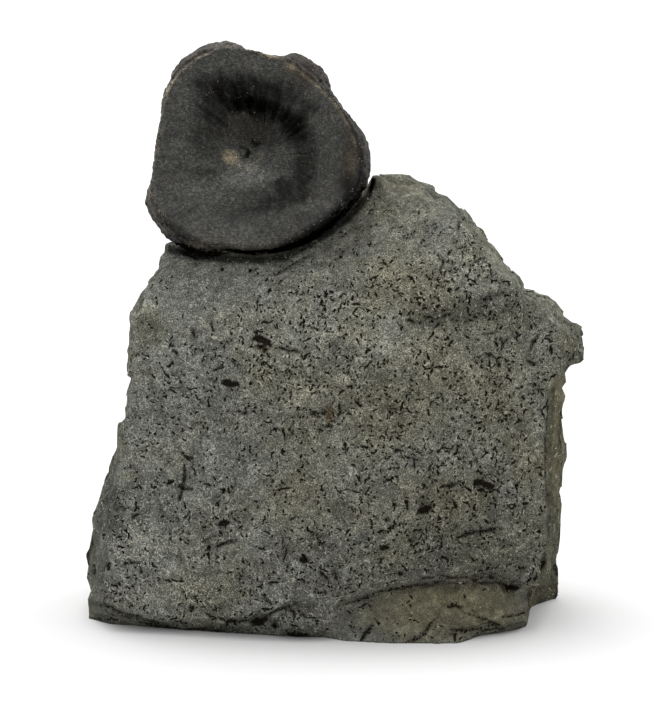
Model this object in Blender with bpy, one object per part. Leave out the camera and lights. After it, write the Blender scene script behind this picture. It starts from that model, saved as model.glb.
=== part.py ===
"""Fossil ichthyosaur vertebra seated on a broken block of speckled mudstone.

Two pieces: the vertebra (one centrum with the stubs of its neural arch) and the loose block of rock that
carries it. The front faces -Y, +X is to the right and +Z is up. The block stands on its flat base at Z = 0.
All sizes in the tables below are in millimetres; the scene is in metres.
"""

import math

import bmesh
import bpy
import numpy as np
from mathutils import Euler, Matrix, Vector, noise

MM = 0.001

# ---- matrix block: sizes in mm ---------------------------------------------------------------------------
# The block where it is widest, going round as seen from the front: x, z, and the depth y of that edge.
BLOCK_OUTLINE = [
    (-67.5, -4.0, -18), (-68.3, 5.0, -13), (-68.3, 11.0, -10), (-67.4, 18.0, -10), (-66.2, 27.5, -9),
    (-64.2, 34.5, -9), (-61.5, 41.0, -8), (-59.7, 49.0, -8), (-57.3, 64.0, -7), (-56.0, 72.0, -6),
    (-56.2, 79.0, -5), (-55.5, 85.5, -4), (-51.7, 91.3, -2), (-48.5, 96.7, 0), (-46.0, 100.5, 4),
    (-40.0, 102.5, 10), (-26.0, 106.0, 14), (-8.0, 110.0, 17), (3.0, 114.0, 18), (10.0, 119.0, 18),
    (15.5, 120.0, 18), (24.0, 117.4, 17), (29.5, 114.6, 15), (38.0, 106.4, 14), (44.0, 99.2, 12),
    (50.0, 91.0, 8),
    (53.0, 89.4, 6), (57.4, 86.3, 4), (61.2, 83.0, 0), (63.0, 80.0, -4), (66.9, 78.0, -8),
    (67.7, 75.4, -8), (66.2, 71.8, -6), (66.2, 70.0, -6), (62.6, 67.4, -3), (61.8, 60.5, 0),
    (61.8, 56.0, 2), (63.2, 48.0, 4), (64.0, 43.0, 4), (63.0, 32.0, 5), (62.6, 20.0, 5),
    (62.2, 10.0, 5), (62.8, 3.0, 5), (62.2, -4.0, 5),
]
SLAB_HALF_DEPTH = 36.0
# Rings of the blank: place from front (-1) to back (1), share of the front inset, inset towards the back.
SLAB_RINGS = [(-1.0, 1.0, 0.0), (-0.55, 0.45, 0.0), (0.0, 0.0, 0.0), (0.55, 0.0, 2.5), (0.85, 0.0, 5.5),
              (1.0, 0.0, 10.0)]
FRONT_INSET_TOP = 2.0
FRONT_INSET_LEFT_FOOT = 8.0
FRONT_INSET_RIGHT_FOOT = 9.0
FOOT_TAPER_HEIGHT = 58.0
BLANK_VOXEL = 2.0

# Front face: nearly flat, bowed back to both sides, then leaning back above a bend that climbs to the right.
FACE_DEPTH = -36.5
FACE_CENTRE_X = 20.0
FACE_BOW_LEFT = 0.0018
FACE_BOW_RIGHT = 0.006
FACE_LEAN = 0.05
FACE_LEAN_FROM = 20.0
BEND_HEIGHT_LEFT = 77.0
BEND_HEIGHT_RIGHT = 91.0
BEND_CLIMB_X = (2.0, 46.0)
BEND_LEAN = 0.72
BEND_CURVE = 0.0125
BEND_SOFTNESS = 3.5
# The front surface keeps this far in front of the widest ring, along the ridge at the top.
RIDGE_THICKNESS = 4.0
RIDGE_SOFTNESS = 2.0

# Broken back: a bedding face, bevelled at its top, right and left from the given place by the given slope,
# with two terraces. A terrace is the direction it faces (x, z), its place along that, and its drop.
BACK_DEPTH = 37.0
BACK_TOP_BEVEL = (88.0, 0.30)
BACK_RIGHT_BEVEL = (30.0, 0.55)
BACK_LEFT_BEVEL = (-38.0, 0.45)
BACK_TERRACES = [(0.55, 0.83, 58.0, 3.2), (-0.80, 0.60, 44.0, 2.6)]
TERRACE_WAVER = 3.0
TERRACE_WAVE = 9.0

# Foot of the front face on the left: it rolls under, to a height that waves (wave length, height, start).
ROLL_HEIGHT = 6.8
ROLL_WAVES = [(7.0, 1.8, 0.0), (3.1, 1.2, 1.0)]
ROLL_DEPTH = 5.5
ROLL_POWER = 1.5

# Foot of the front face on the right: a scar where a slab broke away, under a ledge that runs along x, z.
LEDGE_LINE = [(0.0, 9.5), (8.0, 12.5), (13.0, 14.3), (21.5, 15.7), (27.0, 17.4), (40.5, 17.7), (47.5, 15.3),
              (53.0, 12.0)]
LEDGE_LIP_HEIGHT = 9.0
LEDGE_LIP_ROLL = 2.4
LEDGE_STEP = 2.2
LEDGE_STEP_HEIGHT = 1.2
SCAR_SLOPE = 0.33
SCAR_CORNER = [(34.0, 0.0), (52.3, 3.5), (54.0, 20.0), (64.0, 31.0)]
SCAR_CHIP_HEIGHT = 3.6
SCAR_CHIP_DEPTH = 6.0
SCAR_CHIP_X = (32.0, 40.0)
SCAR_START_X = (-4.0, 2.0)

# Flake lost from the left edge, and the low step on the upper right of the face.
CHIP_CENTRE = (-53.0, 78.0)
CHIP_RADIUS = (6.5, 5.0)
CHIP_DEPTH = 2.6
STEP_START = (14.0, 87.0)
STEP_END = (42.0, 89.0)
STEP_DEPTH = 1.5
STEP_EDGE = 3.0
STEP_REACH = 12.0

# Roughness of the rock on its front and on its broken back: size of the lumps and how far they stand out.
FRONT_LUMPS = [(26.0, 1.0), (10.0, 0.55), (5.5, 0.25)]
BROKEN_LUMPS = [(30.0, 2.4), (13.0, 1.6), (7.0, 0.8)]
BLOCK_TRIANGLES = 6200
REST_PATCH = (-42.0, 42.0, -14.0, 22.0)
WELD = 0.05

# ---- vertebra: sizes in mm ------------------------------------------------------------------------------
# The frame of the vertebra: u to the right, v up, w out of the front face.
VERTEBRA_CENTRE = (-20.8, -12.0, 128.2)
VERTEBRA_TILT = 12.0
VERTEBRA_TURN = 4.0
VERTEBRA_THICKNESS = 26.0
ANGLE_STEPS = 60
# Radius of the front rim at angles counted anticlockwise from u.
RIM_RADII = [
    (0, 27.6), (12, 26.0), (24, 25.0), (37, 24.3), (50, 24.3), (63, 24.9), (78, 25.7), (100, 26.9),
    (115, 29.2), (129, 29.9), (148, 28.6), (166, 27.2), (182, 27.4), (200, 29.4), (214, 30.0), (228, 28.6),
    (244, 27.3), (265, 26.4), (289, 25.7), (317, 26.0), (338, 28.0), (350, 28.2),
]
# Front bowl, rim, flank and rear bowl: share of the rim radius, and w. The front bowl drops by a steep
# step into a deeper cone; towards the left the step fades into a plain slope.
FRONT_BOWL = [(0.1, -14.6), (0.21, -13.8), (0.32, -12.6), (0.41, -11.0), (0.49, -8.4), (0.57, -5.6),
              (0.66, -4.2), (0.78, -2.7), (0.89, -1.3), (0.965, -0.35)]
PLAIN_SLOPE_ANGLE = 188.0
PLAIN_SLOPE_HALF_WIDTH = 85.0
PLAIN_SLOPE_REACH = (0.1, 0.5)
FLANK = [(1.0, -0.7), (1.01, -2.8), (0.985, -7.0), (0.965, -13.0), (0.98, -19.0), (1.0, -23.6)]
REAR_BOWL = [(0.95, -25.6), (0.8, -24.2), (0.6, -21.6), (0.35, -19.0), (0.14, -18.3)]
FRONT_BOWL_FLOOR = -14.9
REAR_BOWL_FLOOR = -18.2
# Bosses on the flank: middle angle, half width on either side, height, and where along w they begin and end.
FLANK_BOSSES = [
    (110.0, 12.0, 50.0, 4.0, -3.0, -24.0),
    (65.0, 27.0, 17.0, 3.6, -3.5, -24.0),
    (221.0, 34.0, 34.0, 5.2, -3.0, -22.0),
    (351.0, 18.0, 38.0, 2.4, -3.0, -20.0),
    (152.0, 8.0, 8.0, 1.6, -2.5, -16.0),
]
BOSS_FLAT_SHARE = 0.45
BOSS_FRONT_RISE = 1.8
BOSS_REAR_RISE = 5.0
CANAL_ANGLE = 88.0
CANAL_HALF_WIDTH = 9.0
CANAL_DEPTH = 2.4
CANAL_START = (-1.0, -4.0)
BONE_LUMPS = [(9.0, 0.35), (4.0, 0.22)]

# Gap between the vertebra and its seat, and the open crevice under the front rim.
SEAT_GAP = 0.42
CREVICE_GAP = 2.0
CREVICE_DEPTH = 7.0
SEAT_RUN_OUT = 14.0


def clear_scene():
    """Remove every object of the open scene."""
    for obj in list(bpy.data.objects):
        bpy.data.objects.remove(obj, do_unlink=True)


def make_material(name, colour, roughness):
    """Return a plain matt material with the given base colour."""
    material = bpy.data.materials.new(name)
    material.use_nodes = True
    shader = material.node_tree.nodes["Principled BSDF"]
    shader.inputs["Base Color"].default_value = (*colour, 1.0)
    shader.inputs["Roughness"].default_value = roughness
    shader.inputs["Metallic"].default_value = 0.0
    return material


def face_outwards(bm):
    """Turn every face of a closed bmesh outwards."""
    bmesh.ops.recalc_face_normals(bm, faces=bm.faces)
    if bm.calc_volume(signed=True) < 0.0:
        bmesh.ops.reverse_faces(bm, faces=bm.faces)


def add_object(name, bm):
    """Write a bmesh held in mm to a new object in metres."""
    bmesh.ops.scale(bm, vec=(MM, MM, MM), verts=bm.verts)
    face_outwards(bm)
    mesh = bpy.data.meshes.new(name)
    bm.to_mesh(mesh)
    bm.free()
    obj = bpy.data.objects.new(name, mesh)
    bpy.context.scene.collection.objects.link(obj)
    return obj


def apply_modifiers(obj):
    """Replace an object's mesh by the result of its modifiers."""
    depsgraph = bpy.context.evaluated_depsgraph_get()
    mesh = bpy.data.meshes.new_from_object(obj.evaluated_get(depsgraph))
    obj.modifiers.clear()
    old = obj.data
    obj.data = mesh
    bpy.data.meshes.remove(old)


def points_of(obj):
    """Return an object's vertices in mm as an array of three columns."""
    flat = np.empty(len(obj.data.vertices) * 3)
    obj.data.vertices.foreach_get("co", flat)
    return flat.reshape(-1, 3) / MM


def move_points(obj, points):
    """Write points in mm back to an object's vertices."""
    obj.data.vertices.foreach_set("co", (points * MM).ravel())
    obj.data.update()


def normals_of(obj):
    """Return an object's vertex normals as an array of three columns."""
    flat = np.empty(len(obj.data.vertices) * 3)
    obj.data.vertex_normals.foreach_get("vector", flat)
    return flat.reshape(-1, 3)


def smoothstep(low, high, value):
    """Rise smoothly from 0 at low to 1 at high."""
    share = np.clip((value - low) / (high - low), 0.0, 1.0)
    return share * share * (3.0 - 2.0 * share)


def lumps(points, layers, shift):
    """Sum layers of smooth noise, each given as lump size and height, at every point."""
    total = np.zeros(len(points))
    for index, (size, height) in enumerate(layers):
        offset = Vector((shift, shift * 0.7, index * 17.0))
        total += height * np.array([noise.noise(Vector(point) / size + offset) for point in points])
    return total


# ---- matrix block ---------------------------------------------------------------------------------------
def inset_outline(front_share, back_inset):
    """Return the outline pulled in for one ring of the blank."""
    ring = []
    for x, z, _ in BLOCK_OUTLINE:
        foot = max(0.0, 1.0 - max(z, 0.0) / FOOT_TAPER_HEIGHT)
        foot_inset = FRONT_INSET_LEFT_FOOT if x < 0.0 else FRONT_INSET_RIGHT_FOOT
        inset = front_share * (FRONT_INSET_TOP + (foot_inset - FRONT_INSET_TOP) * foot) + back_inset
        top = min(1.0, max(0.0, (z - 70.0) / 25.0))
        ring.append((x - math.copysign(inset * (1.0 - 0.7 * top), x), z - inset * top))
    return ring


def lofted_blank():
    """Loft the block's blank through its rings, with flat front and back caps."""
    bm = bmesh.new()
    rings = []
    for place, front_share, back_inset in SLAB_RINGS:
        outline = inset_outline(front_share, back_inset)
        rings.append([bm.verts.new((x, place * SLAB_HALF_DEPTH, z)) for x, z in outline])
    count = len(BLOCK_OUTLINE)
    for near, far in zip(rings, rings[1:]):
        for i in range(count):
            j = (i + 1) % count
            bm.faces.new((near[i], near[j], far[j], far[i]))
    caps = [bm.faces.new(rings[0]), bm.faces.new(rings[-1])]
    bmesh.ops.triangulate(bm, faces=caps)
    return bm


def bend_height(x):
    """Height of the bend in the front face."""
    return BEND_HEIGHT_LEFT + (BEND_HEIGHT_RIGHT - BEND_HEIGHT_LEFT) * smoothstep(*BEND_CLIMB_X, x)


def front_face(x, z):
    """Depth of the front surface before its breaks."""
    aside = x - FACE_CENTRE_X
    bow = np.where(aside < 0.0, FACE_BOW_LEFT, FACE_BOW_RIGHT) * aside**2
    above = BEND_SOFTNESS * np.logaddexp(0.0, (z - bend_height(x)) / BEND_SOFTNESS)
    lean = FACE_LEAN * (np.minimum(z, bend_height(x)) - FACE_LEAN_FROM)
    return FACE_DEPTH + bow + lean + BEND_LEAN * above + BEND_CURVE * above**2


def foot_break(x, z):
    """Extra depth at the foot: rolled under on the left, and a scar under a ledge on the right."""
    on_right = smoothstep(*SCAR_START_X, x)
    roll_height = ROLL_HEIGHT + sum(height * np.sin(x / length + start) for length, height, start in ROLL_WAVES)
    rolled = ROLL_DEPTH * np.maximum(1.0 - z / roll_height, 0.0)**ROLL_POWER
    line = np.interp(x, [place for place, _ in LEDGE_LINE], [height for _, height in LEDGE_LINE])
    below = np.maximum(line - z, 0.0)
    lip = LEDGE_LIP_ROLL * (1.0 - smoothstep(line, line + LEDGE_LIP_HEIGHT, z))
    under_ledge = smoothstep(0.0, LEDGE_STEP_HEIGHT, below)
    corner = np.interp(x, [place for place, _ in SCAR_CORNER], [depth for _, depth in SCAR_CORNER])
    chip = SCAR_CHIP_DEPTH * smoothstep(*SCAR_CHIP_X, x) * np.maximum(1.0 - z / SCAR_CHIP_HEIGHT, 0.0)
    scar = (LEDGE_STEP + corner) * under_ledge - SCAR_SLOPE * below + chip
    return on_right * (lip + scar) + (1.0 - on_right) * rolled


def lost_flake(x, z):
    """Extra depth where a flake has come off the left edge."""
    reach = ((x - CHIP_CENTRE[0]) / CHIP_RADIUS[0])**2 + ((z - CHIP_CENTRE[1]) / CHIP_RADIUS[1])**2
    return CHIP_DEPTH * (1.0 - smoothstep(0.2, 1.6, reach))


def low_step(x, z):
    """Extra depth below the low step on the upper right, which fades out downwards and at both ends."""
    (start_x, start_z), (end_x, end_z) = STEP_START, STEP_END
    under = np.interp(x, [start_x, end_x], [start_z, end_z]) - z
    along = smoothstep(start_x - STEP_REACH, start_x, x) * (1.0 - smoothstep(end_x - STEP_REACH, end_x, x))
    fade = smoothstep(0.0, STEP_EDGE, under) * (1.0 - smoothstep(STEP_EDGE, STEP_REACH, under))
    return STEP_DEPTH * along * fade


def widest_depth(x, z):
    """Depth of the widest ring, spread inwards from the outline by distance."""
    total = np.zeros_like(x)
    weights = np.zeros_like(x)
    for edge_x, edge_z, edge_y in BLOCK_OUTLINE:
        weight = 1.0 / ((x - edge_x)**2 + (z - edge_z)**2 + 4.0)
        total += weight * edge_y
        weights += weight
    return total / weights


def back_depth(x, z):
    """Depth of the broken back, with its bevels and terraces."""
    depth = BACK_DEPTH - BACK_TOP_BEVEL[1] * np.maximum(z - BACK_TOP_BEVEL[0], 0.0)
    depth -= BACK_RIGHT_BEVEL[1] * np.maximum(x - BACK_RIGHT_BEVEL[0], 0.0)
    depth -= BACK_LEFT_BEVEL[1] * np.maximum(BACK_LEFT_BEVEL[0] - x, 0.0)
    for slope_x, slope_z, place, drop in BACK_TERRACES:
        waver = TERRACE_WAVER * np.sin((slope_z * x - slope_x * z) / TERRACE_WAVE)
        depth -= drop * smoothstep(-1.0, 1.0, slope_x * x + slope_z * z + waver - place)
    return depth


def shape_block(obj):
    """Warp the flat blank to the depths of the front, the widest ring and the back, then roughen it."""
    points = points_of(obj)
    x, place, z = points[:, 0], points[:, 1] / SLAB_HALF_DEPTH, points[:, 2]
    widest, back = widest_depth(x, z), back_depth(x, z)
    front = front_face(x, z) + foot_break(x, z) + lost_flake(x, z) + low_step(x, z)
    spare = widest - front - RIDGE_THICKNESS
    reach = RIDGE_THICKNESS + RIDGE_SOFTNESS * np.logaddexp(0.0, spare / RIDGE_SOFTNESS)
    points[:, 1] = widest + np.where(place < 0.0, reach, back - widest) * place
    move_points(obj, points)
    normals = normals_of(obj)
    broken = smoothstep(0.0, 0.5, place)
    push = (1.0 - broken) * lumps(points, FRONT_LUMPS, 3.0) + broken * lumps(points, BROKEN_LUMPS, 11.0)
    move_points(obj, points + normals * push[:, None])


def flatten_base(obj):
    """Cut the block off flat at Z = 0 and close it, with a large plain patch in the middle."""
    bm = bmesh.new()
    bm.from_mesh(obj.data)
    geometry = bm.verts[:] + bm.edges[:] + bm.faces[:]
    bmesh.ops.bisect_plane(bm, geom=geometry, dist=1e-7, plane_co=(0, 0, 0), plane_no=(0, 0, 1),
                           clear_inner=True)
    rim = [edge for edge in bm.edges if edge.is_boundary]
    left, right, near, far = (value * MM for value in REST_PATCH)
    corners = [bm.verts.new((x, y, 0.0)) for x, y in ((left, near), (right, near), (right, far), (left, far))]
    patch = bm.faces.new(corners)
    bmesh.ops.triangle_fill(bm, use_beauty=True, edges=rim + list(patch.edges), normal=(0, 0, -1))
    face_outwards(bm)
    bm.to_mesh(obj.data)
    bm.free()


def tidy_mesh(obj):
    """Weld slivers left by a cut and make every face a triangle."""
    bm = bmesh.new()
    bm.from_mesh(obj.data)
    bmesh.ops.remove_doubles(bm, verts=bm.verts, dist=WELD * MM)
    bmesh.ops.dissolve_degenerate(bm, edges=bm.edges, dist=WELD * MM)
    bmesh.ops.triangulate(bm, faces=bm.faces, quad_method="BEAUTY", ngon_method="BEAUTY")
    face_outwards(bm)
    bm.to_mesh(obj.data)
    bm.free()


def build_block(seat):
    """Build the matrix block and cut the vertebra's seat in it."""
    block = add_object("matrix_block", lofted_blank())
    remesh = block.modifiers.new("even_faces", "REMESH")
    remesh.mode = "VOXEL"
    remesh.voxel_size = BLANK_VOXEL * MM
    apply_modifiers(block)
    shape_block(block)
    triangulate = block.modifiers.new("triangles", "TRIANGULATE")
    triangulate.quad_method = "BEAUTY"
    apply_modifiers(block)
    fewer = block.modifiers.new("fewer_faces", "DECIMATE")
    fewer.ratio = BLOCK_TRIANGLES / len(block.data.polygons)
    apply_modifiers(block)
    flatten_base(block)
    cut = block.modifiers.new("seat", "BOOLEAN")
    cut.operation = "DIFFERENCE"
    cut.solver = "EXACT"
    cut.object = seat
    apply_modifiers(block)
    tidy_mesh(block)
    block.data.materials.clear()
    block.data.materials.append(make_material("speckled_mudstone", (0.098, 0.096, 0.076), 0.88))
    return block


# ---- vertebra -------------------------------------------------------------------------------------------
def rim_radius(angle):
    """Radius of the front rim at an angle in degrees, by a smooth curve through the table."""
    angles = np.array([entry[0] for entry in RIM_RADII], dtype=float)
    radii = np.array([entry[1] for entry in RIM_RADII])
    angles = np.concatenate((angles - 360.0, angles, angles + 360.0))
    radii = np.tile(radii, 3)
    window = np.linspace(-9.0, 9.0, 7)
    return float(np.mean(np.interp(angle % 360.0 + window, angles, radii)))


def angle_past(angle, middle):
    """Angle from middle to angle in degrees, between -180 and 180."""
    return (angle - middle + 180.0) % 360.0 - 180.0


def boss_height(angle, w):
    """Height of the bosses and of the canal's groove on the flank."""
    total = 0.0
    for middle, below, above, height, start, end in FLANK_BOSSES:
        off = angle_past(angle, middle)
        reach = abs(off) / (below if off < 0.0 else above)
        along = smoothstep(start + BOSS_FRONT_RISE, start - BOSS_FRONT_RISE, w)
        along *= smoothstep(end, end + BOSS_REAR_RISE, w)
        total += height * float(along * (1.0 - smoothstep(BOSS_FLAT_SHARE, 1.0, reach)))
    across = 1.0 - smoothstep(BOSS_FLAT_SHARE, 1.0, abs(angle_past(angle, CANAL_ANGLE)) / CANAL_HALF_WIDTH)
    return total - CANAL_DEPTH * float(across * smoothstep(CANAL_START[0], CANAL_START[1], w))


def plain_slope_share(angle):
    """Share of the plain slope in the bowl at an angle: 1 at the left, 0 where the step is steep."""
    return float(1.0 - smoothstep(0.0, 1.0, abs(angle_past(angle, PLAIN_SLOPE_ANGLE)) / PLAIN_SLOPE_HALF_WIDTH))


def vertebra_ring(bm, share, w, part="bowl", clearance=0.0):
    """Add one ring of the vertebra and return its vertices; part is front_bowl, flank or bowl."""
    ring = []
    for step in range(ANGLE_STEPS):
        angle = 360.0 * step / ANGLE_STEPS
        radius = rim_radius(angle) * share + clearance
        depth = w
        if part == "flank":
            radius += boss_height(angle, w)
        if part == "front_bowl":
            plain = FRONT_BOWL_FLOOR * (1.0 - share)
            depth += (plain - w) * plain_slope_share(angle) * float(smoothstep(*PLAIN_SLOPE_REACH, share))
        turn = math.radians(angle)
        ring.append(bm.verts.new((radius * math.cos(turn), radius * math.sin(turn), depth)))
    return ring


def skin_rings(bm, rings, front_centre, rear_centre):
    """Join the rings by quads and close both ends by fans."""
    for near, far in zip(rings, rings[1:]):
        for i in range(ANGLE_STEPS):
            j = (i + 1) % ANGLE_STEPS
            bm.faces.new((near[i], near[j], far[j], far[i]))
    for ring, depth in ((rings[0], front_centre), (rings[-1], rear_centre)):
        hub = bm.verts.new((0.0, 0.0, depth))
        for i in range(ANGLE_STEPS):
            bm.faces.new((hub, ring[i], ring[(i + 1) % ANGLE_STEPS]))


def place_vertebra(bm):
    """Turn the vertebra's own frame so that w points forward and a little up and left, and set it in place."""
    stand = Matrix.Rotation(math.radians(90.0), 4, "X")
    lean = Euler((math.radians(-VERTEBRA_TILT), 0.0, math.radians(-VERTEBRA_TURN))).to_matrix().to_4x4()
    bmesh.ops.transform(bm, matrix=Matrix.Translation(VERTEBRA_CENTRE) @ lean @ stand, verts=bm.verts)


def build_vertebra():
    """Build the centrum with its two bowls, flank bosses and canal groove."""
    bm = bmesh.new()
    rings = [vertebra_ring(bm, share, w, "front_bowl") for share, w in FRONT_BOWL]
    rings += [vertebra_ring(bm, share, w, "flank") for share, w in FLANK]
    rings += [vertebra_ring(bm, share, w) for share, w in REAR_BOWL]
    skin_rings(bm, rings, FRONT_BOWL_FLOOR, REAR_BOWL_FLOOR)
    place_vertebra(bm)
    bmesh.ops.triangulate(bm, faces=bm.faces)
    vertebra = add_object("vertebra", bm)
    points = points_of(vertebra)
    push = lumps(points, BONE_LUMPS, 5.0)
    move_points(vertebra, points + normals_of(vertebra) * push[:, None])
    vertebra.data.materials.append(make_material("dark_fossil_bone", (0.035, 0.034, 0.030), 0.55))
    return vertebra


def build_seat():
    """Build the cutter for the seat: the vertebra's outside with a gap, wider under the front rim."""
    bm = bmesh.new()
    gap = SEAT_GAP + 0.5 * sum(height for _, height in BONE_LUMPS)
    end = -VERTEBRA_THICKNESS - SEAT_GAP
    rings = [vertebra_ring(bm, 1.0, SEAT_RUN_OUT, clearance=gap + CREVICE_GAP)]
    for share, w in FLANK:
        opening = float(smoothstep(-CREVICE_DEPTH, 0.0, w))
        rings.append(vertebra_ring(bm, max(share, 1.0), w, "flank", gap + CREVICE_GAP * opening))
    rings.append(vertebra_ring(bm, REAR_BOWL[0][0], end, clearance=gap))
    skin_rings(bm, rings, SEAT_RUN_OUT, end)
    place_vertebra(bm)
    seat = add_object("seat_cutter", bm)
    seat.hide_render = True
    seat.display_type = "WIRE"
    return seat


def centre_on_base(objects):
    """Move the pieces together so that the middle of their box is over the origin."""
    every = np.concatenate([points_of(obj) for obj in objects])
    middle = (every.min(axis=0) + every.max(axis=0)) / 2.0
    middle[2] = 0.0
    for obj in objects:
        move_points(obj, points_of(obj) - middle)


def main():
    """Build both pieces."""
    clear_scene()
    seat = build_seat()
    block = build_block(seat)
    vertebra = build_vertebra()
    centre_on_base([block, vertebra])


main()
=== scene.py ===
"""Looks of a fossil marine-reptile vertebra that rests in its block of speckled mudstone.

Lengths are in millimetres unless a name says otherwise. X runs to the right, Y away from the viewer and
Z up. Places on the side that the viewer sees are given as picture points: x to the right and y down in a
picture 665 wide and 702 high, taken by the Viewpoint below.
"""

from __future__ import annotations

import logging
import math
from dataclasses import dataclass
from enum import Enum

import bmesh
import bpy
import numpy as np
from mathutils import Euler, Matrix, Vector


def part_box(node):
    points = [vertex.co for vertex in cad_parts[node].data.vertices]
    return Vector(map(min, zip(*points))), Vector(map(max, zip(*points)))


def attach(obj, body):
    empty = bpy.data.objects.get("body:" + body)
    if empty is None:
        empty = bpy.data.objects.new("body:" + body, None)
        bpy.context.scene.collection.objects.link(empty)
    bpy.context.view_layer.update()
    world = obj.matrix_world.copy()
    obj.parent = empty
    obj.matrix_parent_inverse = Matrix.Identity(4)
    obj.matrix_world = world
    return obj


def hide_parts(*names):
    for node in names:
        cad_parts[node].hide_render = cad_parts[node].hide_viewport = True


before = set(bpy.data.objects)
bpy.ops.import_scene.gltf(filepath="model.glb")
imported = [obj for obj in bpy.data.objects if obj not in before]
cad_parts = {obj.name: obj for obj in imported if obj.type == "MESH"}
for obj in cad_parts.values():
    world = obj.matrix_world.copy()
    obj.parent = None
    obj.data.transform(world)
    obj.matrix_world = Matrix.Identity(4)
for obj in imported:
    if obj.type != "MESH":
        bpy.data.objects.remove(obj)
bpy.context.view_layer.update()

LOG = logging.getLogger("fossil_vertebra")
MM = 0.001
BLOCK_NODE = "matrix_block"
BONE_NODE = "vertebra"
ROCK_SLOT = "speckled_mudstone"
BONE_SLOT = "dark_fossil_bone"

AXIS_FACTORS = (73856093, 19349663, 83492791)
SEED_FACTOR = 2654435761
MIX_FACTOR = 1274126177
LATTICE_OFFSET = 911.7
CHIP_OFFSET = 511.3
NOISE_GAIN = 1.5
FAR_OFF = 1e9
LAYER_SEEDS = 31
LEAN_SEEDS = 7

Pair = tuple[float, float]
Triple = tuple[float, float, float]
PicturePoint = Pair
PicturePath = tuple[PicturePoint, ...]
SizesAndHeights = tuple[Pair, ...]


# ---- numbers and noise ----
def smoothstep(low: float | np.ndarray, high: float | np.ndarray, value: np.ndarray) -> np.ndarray:
    """Rise smoothly from 0 where a value is low to 1 where it is high."""
    share = np.clip((value - low) / (high - low), 0.0, 1.0)
    return share * share * (3.0 - 2.0 * share)


@dataclass(frozen=True)
class LumpNoise:
    """Smooth three-dimensional noise that is the same on every run.

    Attributes:
        seed: a different seed gives different lumps.
        layers: lump size in mm and height of every layer.
    """

    seed: int
    layers: SizesAndHeights = ()

    def _lattice(self, cell: np.ndarray) -> np.ndarray:
        """Return a mixed whole number for every lattice cell.

        Args:
            cell: the cells, three columns.

        Returns:
            The numbers.
        """
        first, second, third = (cell[:, axis] * factor for axis, factor in enumerate(AXIS_FACTORS))
        mixed = first ^ second ^ third ^ self.seed * SEED_FACTOR
        mixed = (mixed ^ (mixed >> 13)) * MIX_FACTOR
        return (mixed ^ (mixed >> 16)) & 0xFFFFFF

    def sample(self, points: np.ndarray, size: float) -> np.ndarray:
        """Evaluate the noise.

        Args:
            points: places in mm, three columns.
            size: size of a lump in mm.

        Returns:
            A value between about -1 and 1 for every place.
        """
        grid = points / size + LATTICE_OFFSET
        base = np.floor(grid).astype(np.int64)
        part = grid - base
        fade = part**3 * (part * (part * 6.0 - 15.0) + 10.0)
        total = np.zeros(len(points))
        for corner in range(8):
            step = np.array([corner & 1, corner >> 1 & 1, corner >> 2 & 1])
            turn = self._lattice(base + step)
            angle = (turn & 0xFFF) * (2.0 * math.pi / 4096.0)
            rise = (turn >> 12 & 0xFFF) * (2.0 / 4095.0) - 1.0
            flat = np.sqrt(1.0 - rise * rise)
            away = part - step
            dot = away[:, 0] * flat * np.cos(angle) + away[:, 1] * flat * np.sin(angle) + away[:, 2] * rise
            total += dot * np.prod(np.where(step == 1, fade, 1.0 - fade), axis=1)
        return total * NOISE_GAIN

    def heights(self, points: np.ndarray) -> np.ndarray:
        """Sum the layers.

        Args:
            points: places in mm, three columns.

        Returns:
            The summed height at every place.
        """
        total = np.zeros(len(points))
        for index, (size, height) in enumerate(self.layers):
            total += height * LumpNoise(self.seed + LAYER_SEEDS * index).sample(points, size)
        return total

    def facets(self, points: np.ndarray, size: float) -> np.ndarray:
        """Evaluate flat tilted chips, as on a broken face.

        Args:
            points: places in mm, three columns.
            size: size of a chip in mm.

        Returns:
            A height between about -1 and 1 for every place, in plane pieces that meet at sharp edges.
        """
        grid = points / size + CHIP_OFFSET
        base = np.floor(grid).astype(np.int64)
        nearest = np.full(len(points), FAR_OFF)
        height = np.zeros(len(points))
        for index in range(27):
            step = np.array([index % 3 - 1, index // 3 % 3 - 1, index // 9 - 1])
            cell = base + step
            turn = self._lattice(cell)
            middle = cell + np.stack([turn & 0xFF, turn >> 8 & 0xFF, turn >> 16 & 0xFF], axis=1) / 255.0
            away = grid - middle
            distance = np.sum(away * away, axis=1)
            tilt = LumpNoise(self.seed + LEAN_SEEDS)._lattice(cell)
            lean = np.stack([tilt & 0xFF, tilt >> 8 & 0xFF, tilt >> 16 & 0xFF], axis=1) / 127.5 - 1.0
            closer = distance < nearest
            nearest = np.where(closer, distance, nearest)
            height = np.where(closer, np.sum(away * lean, axis=1) + lean[:, 0] * 0.5, height)
        return height


@dataclass(frozen=True)
class Pits:
    """Small pits.

    Attributes:
        noise: the noise whose peaks are the pits, with one layer.
        onset: how high it is where a pit starts.
        depth: depth in mm gained with the noise above that.
    """

    noise: LumpNoise
    onset: float
    depth: float

    def depth_at(self, points: np.ndarray) -> np.ndarray:
        """Return the depth of the pits at places in mm."""
        return self.depth * np.maximum(self.noise.heights(points) - self.onset, 0.0)


# ---- the view ----
SEEN_RANGE = (0.05, 0.35)


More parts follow.
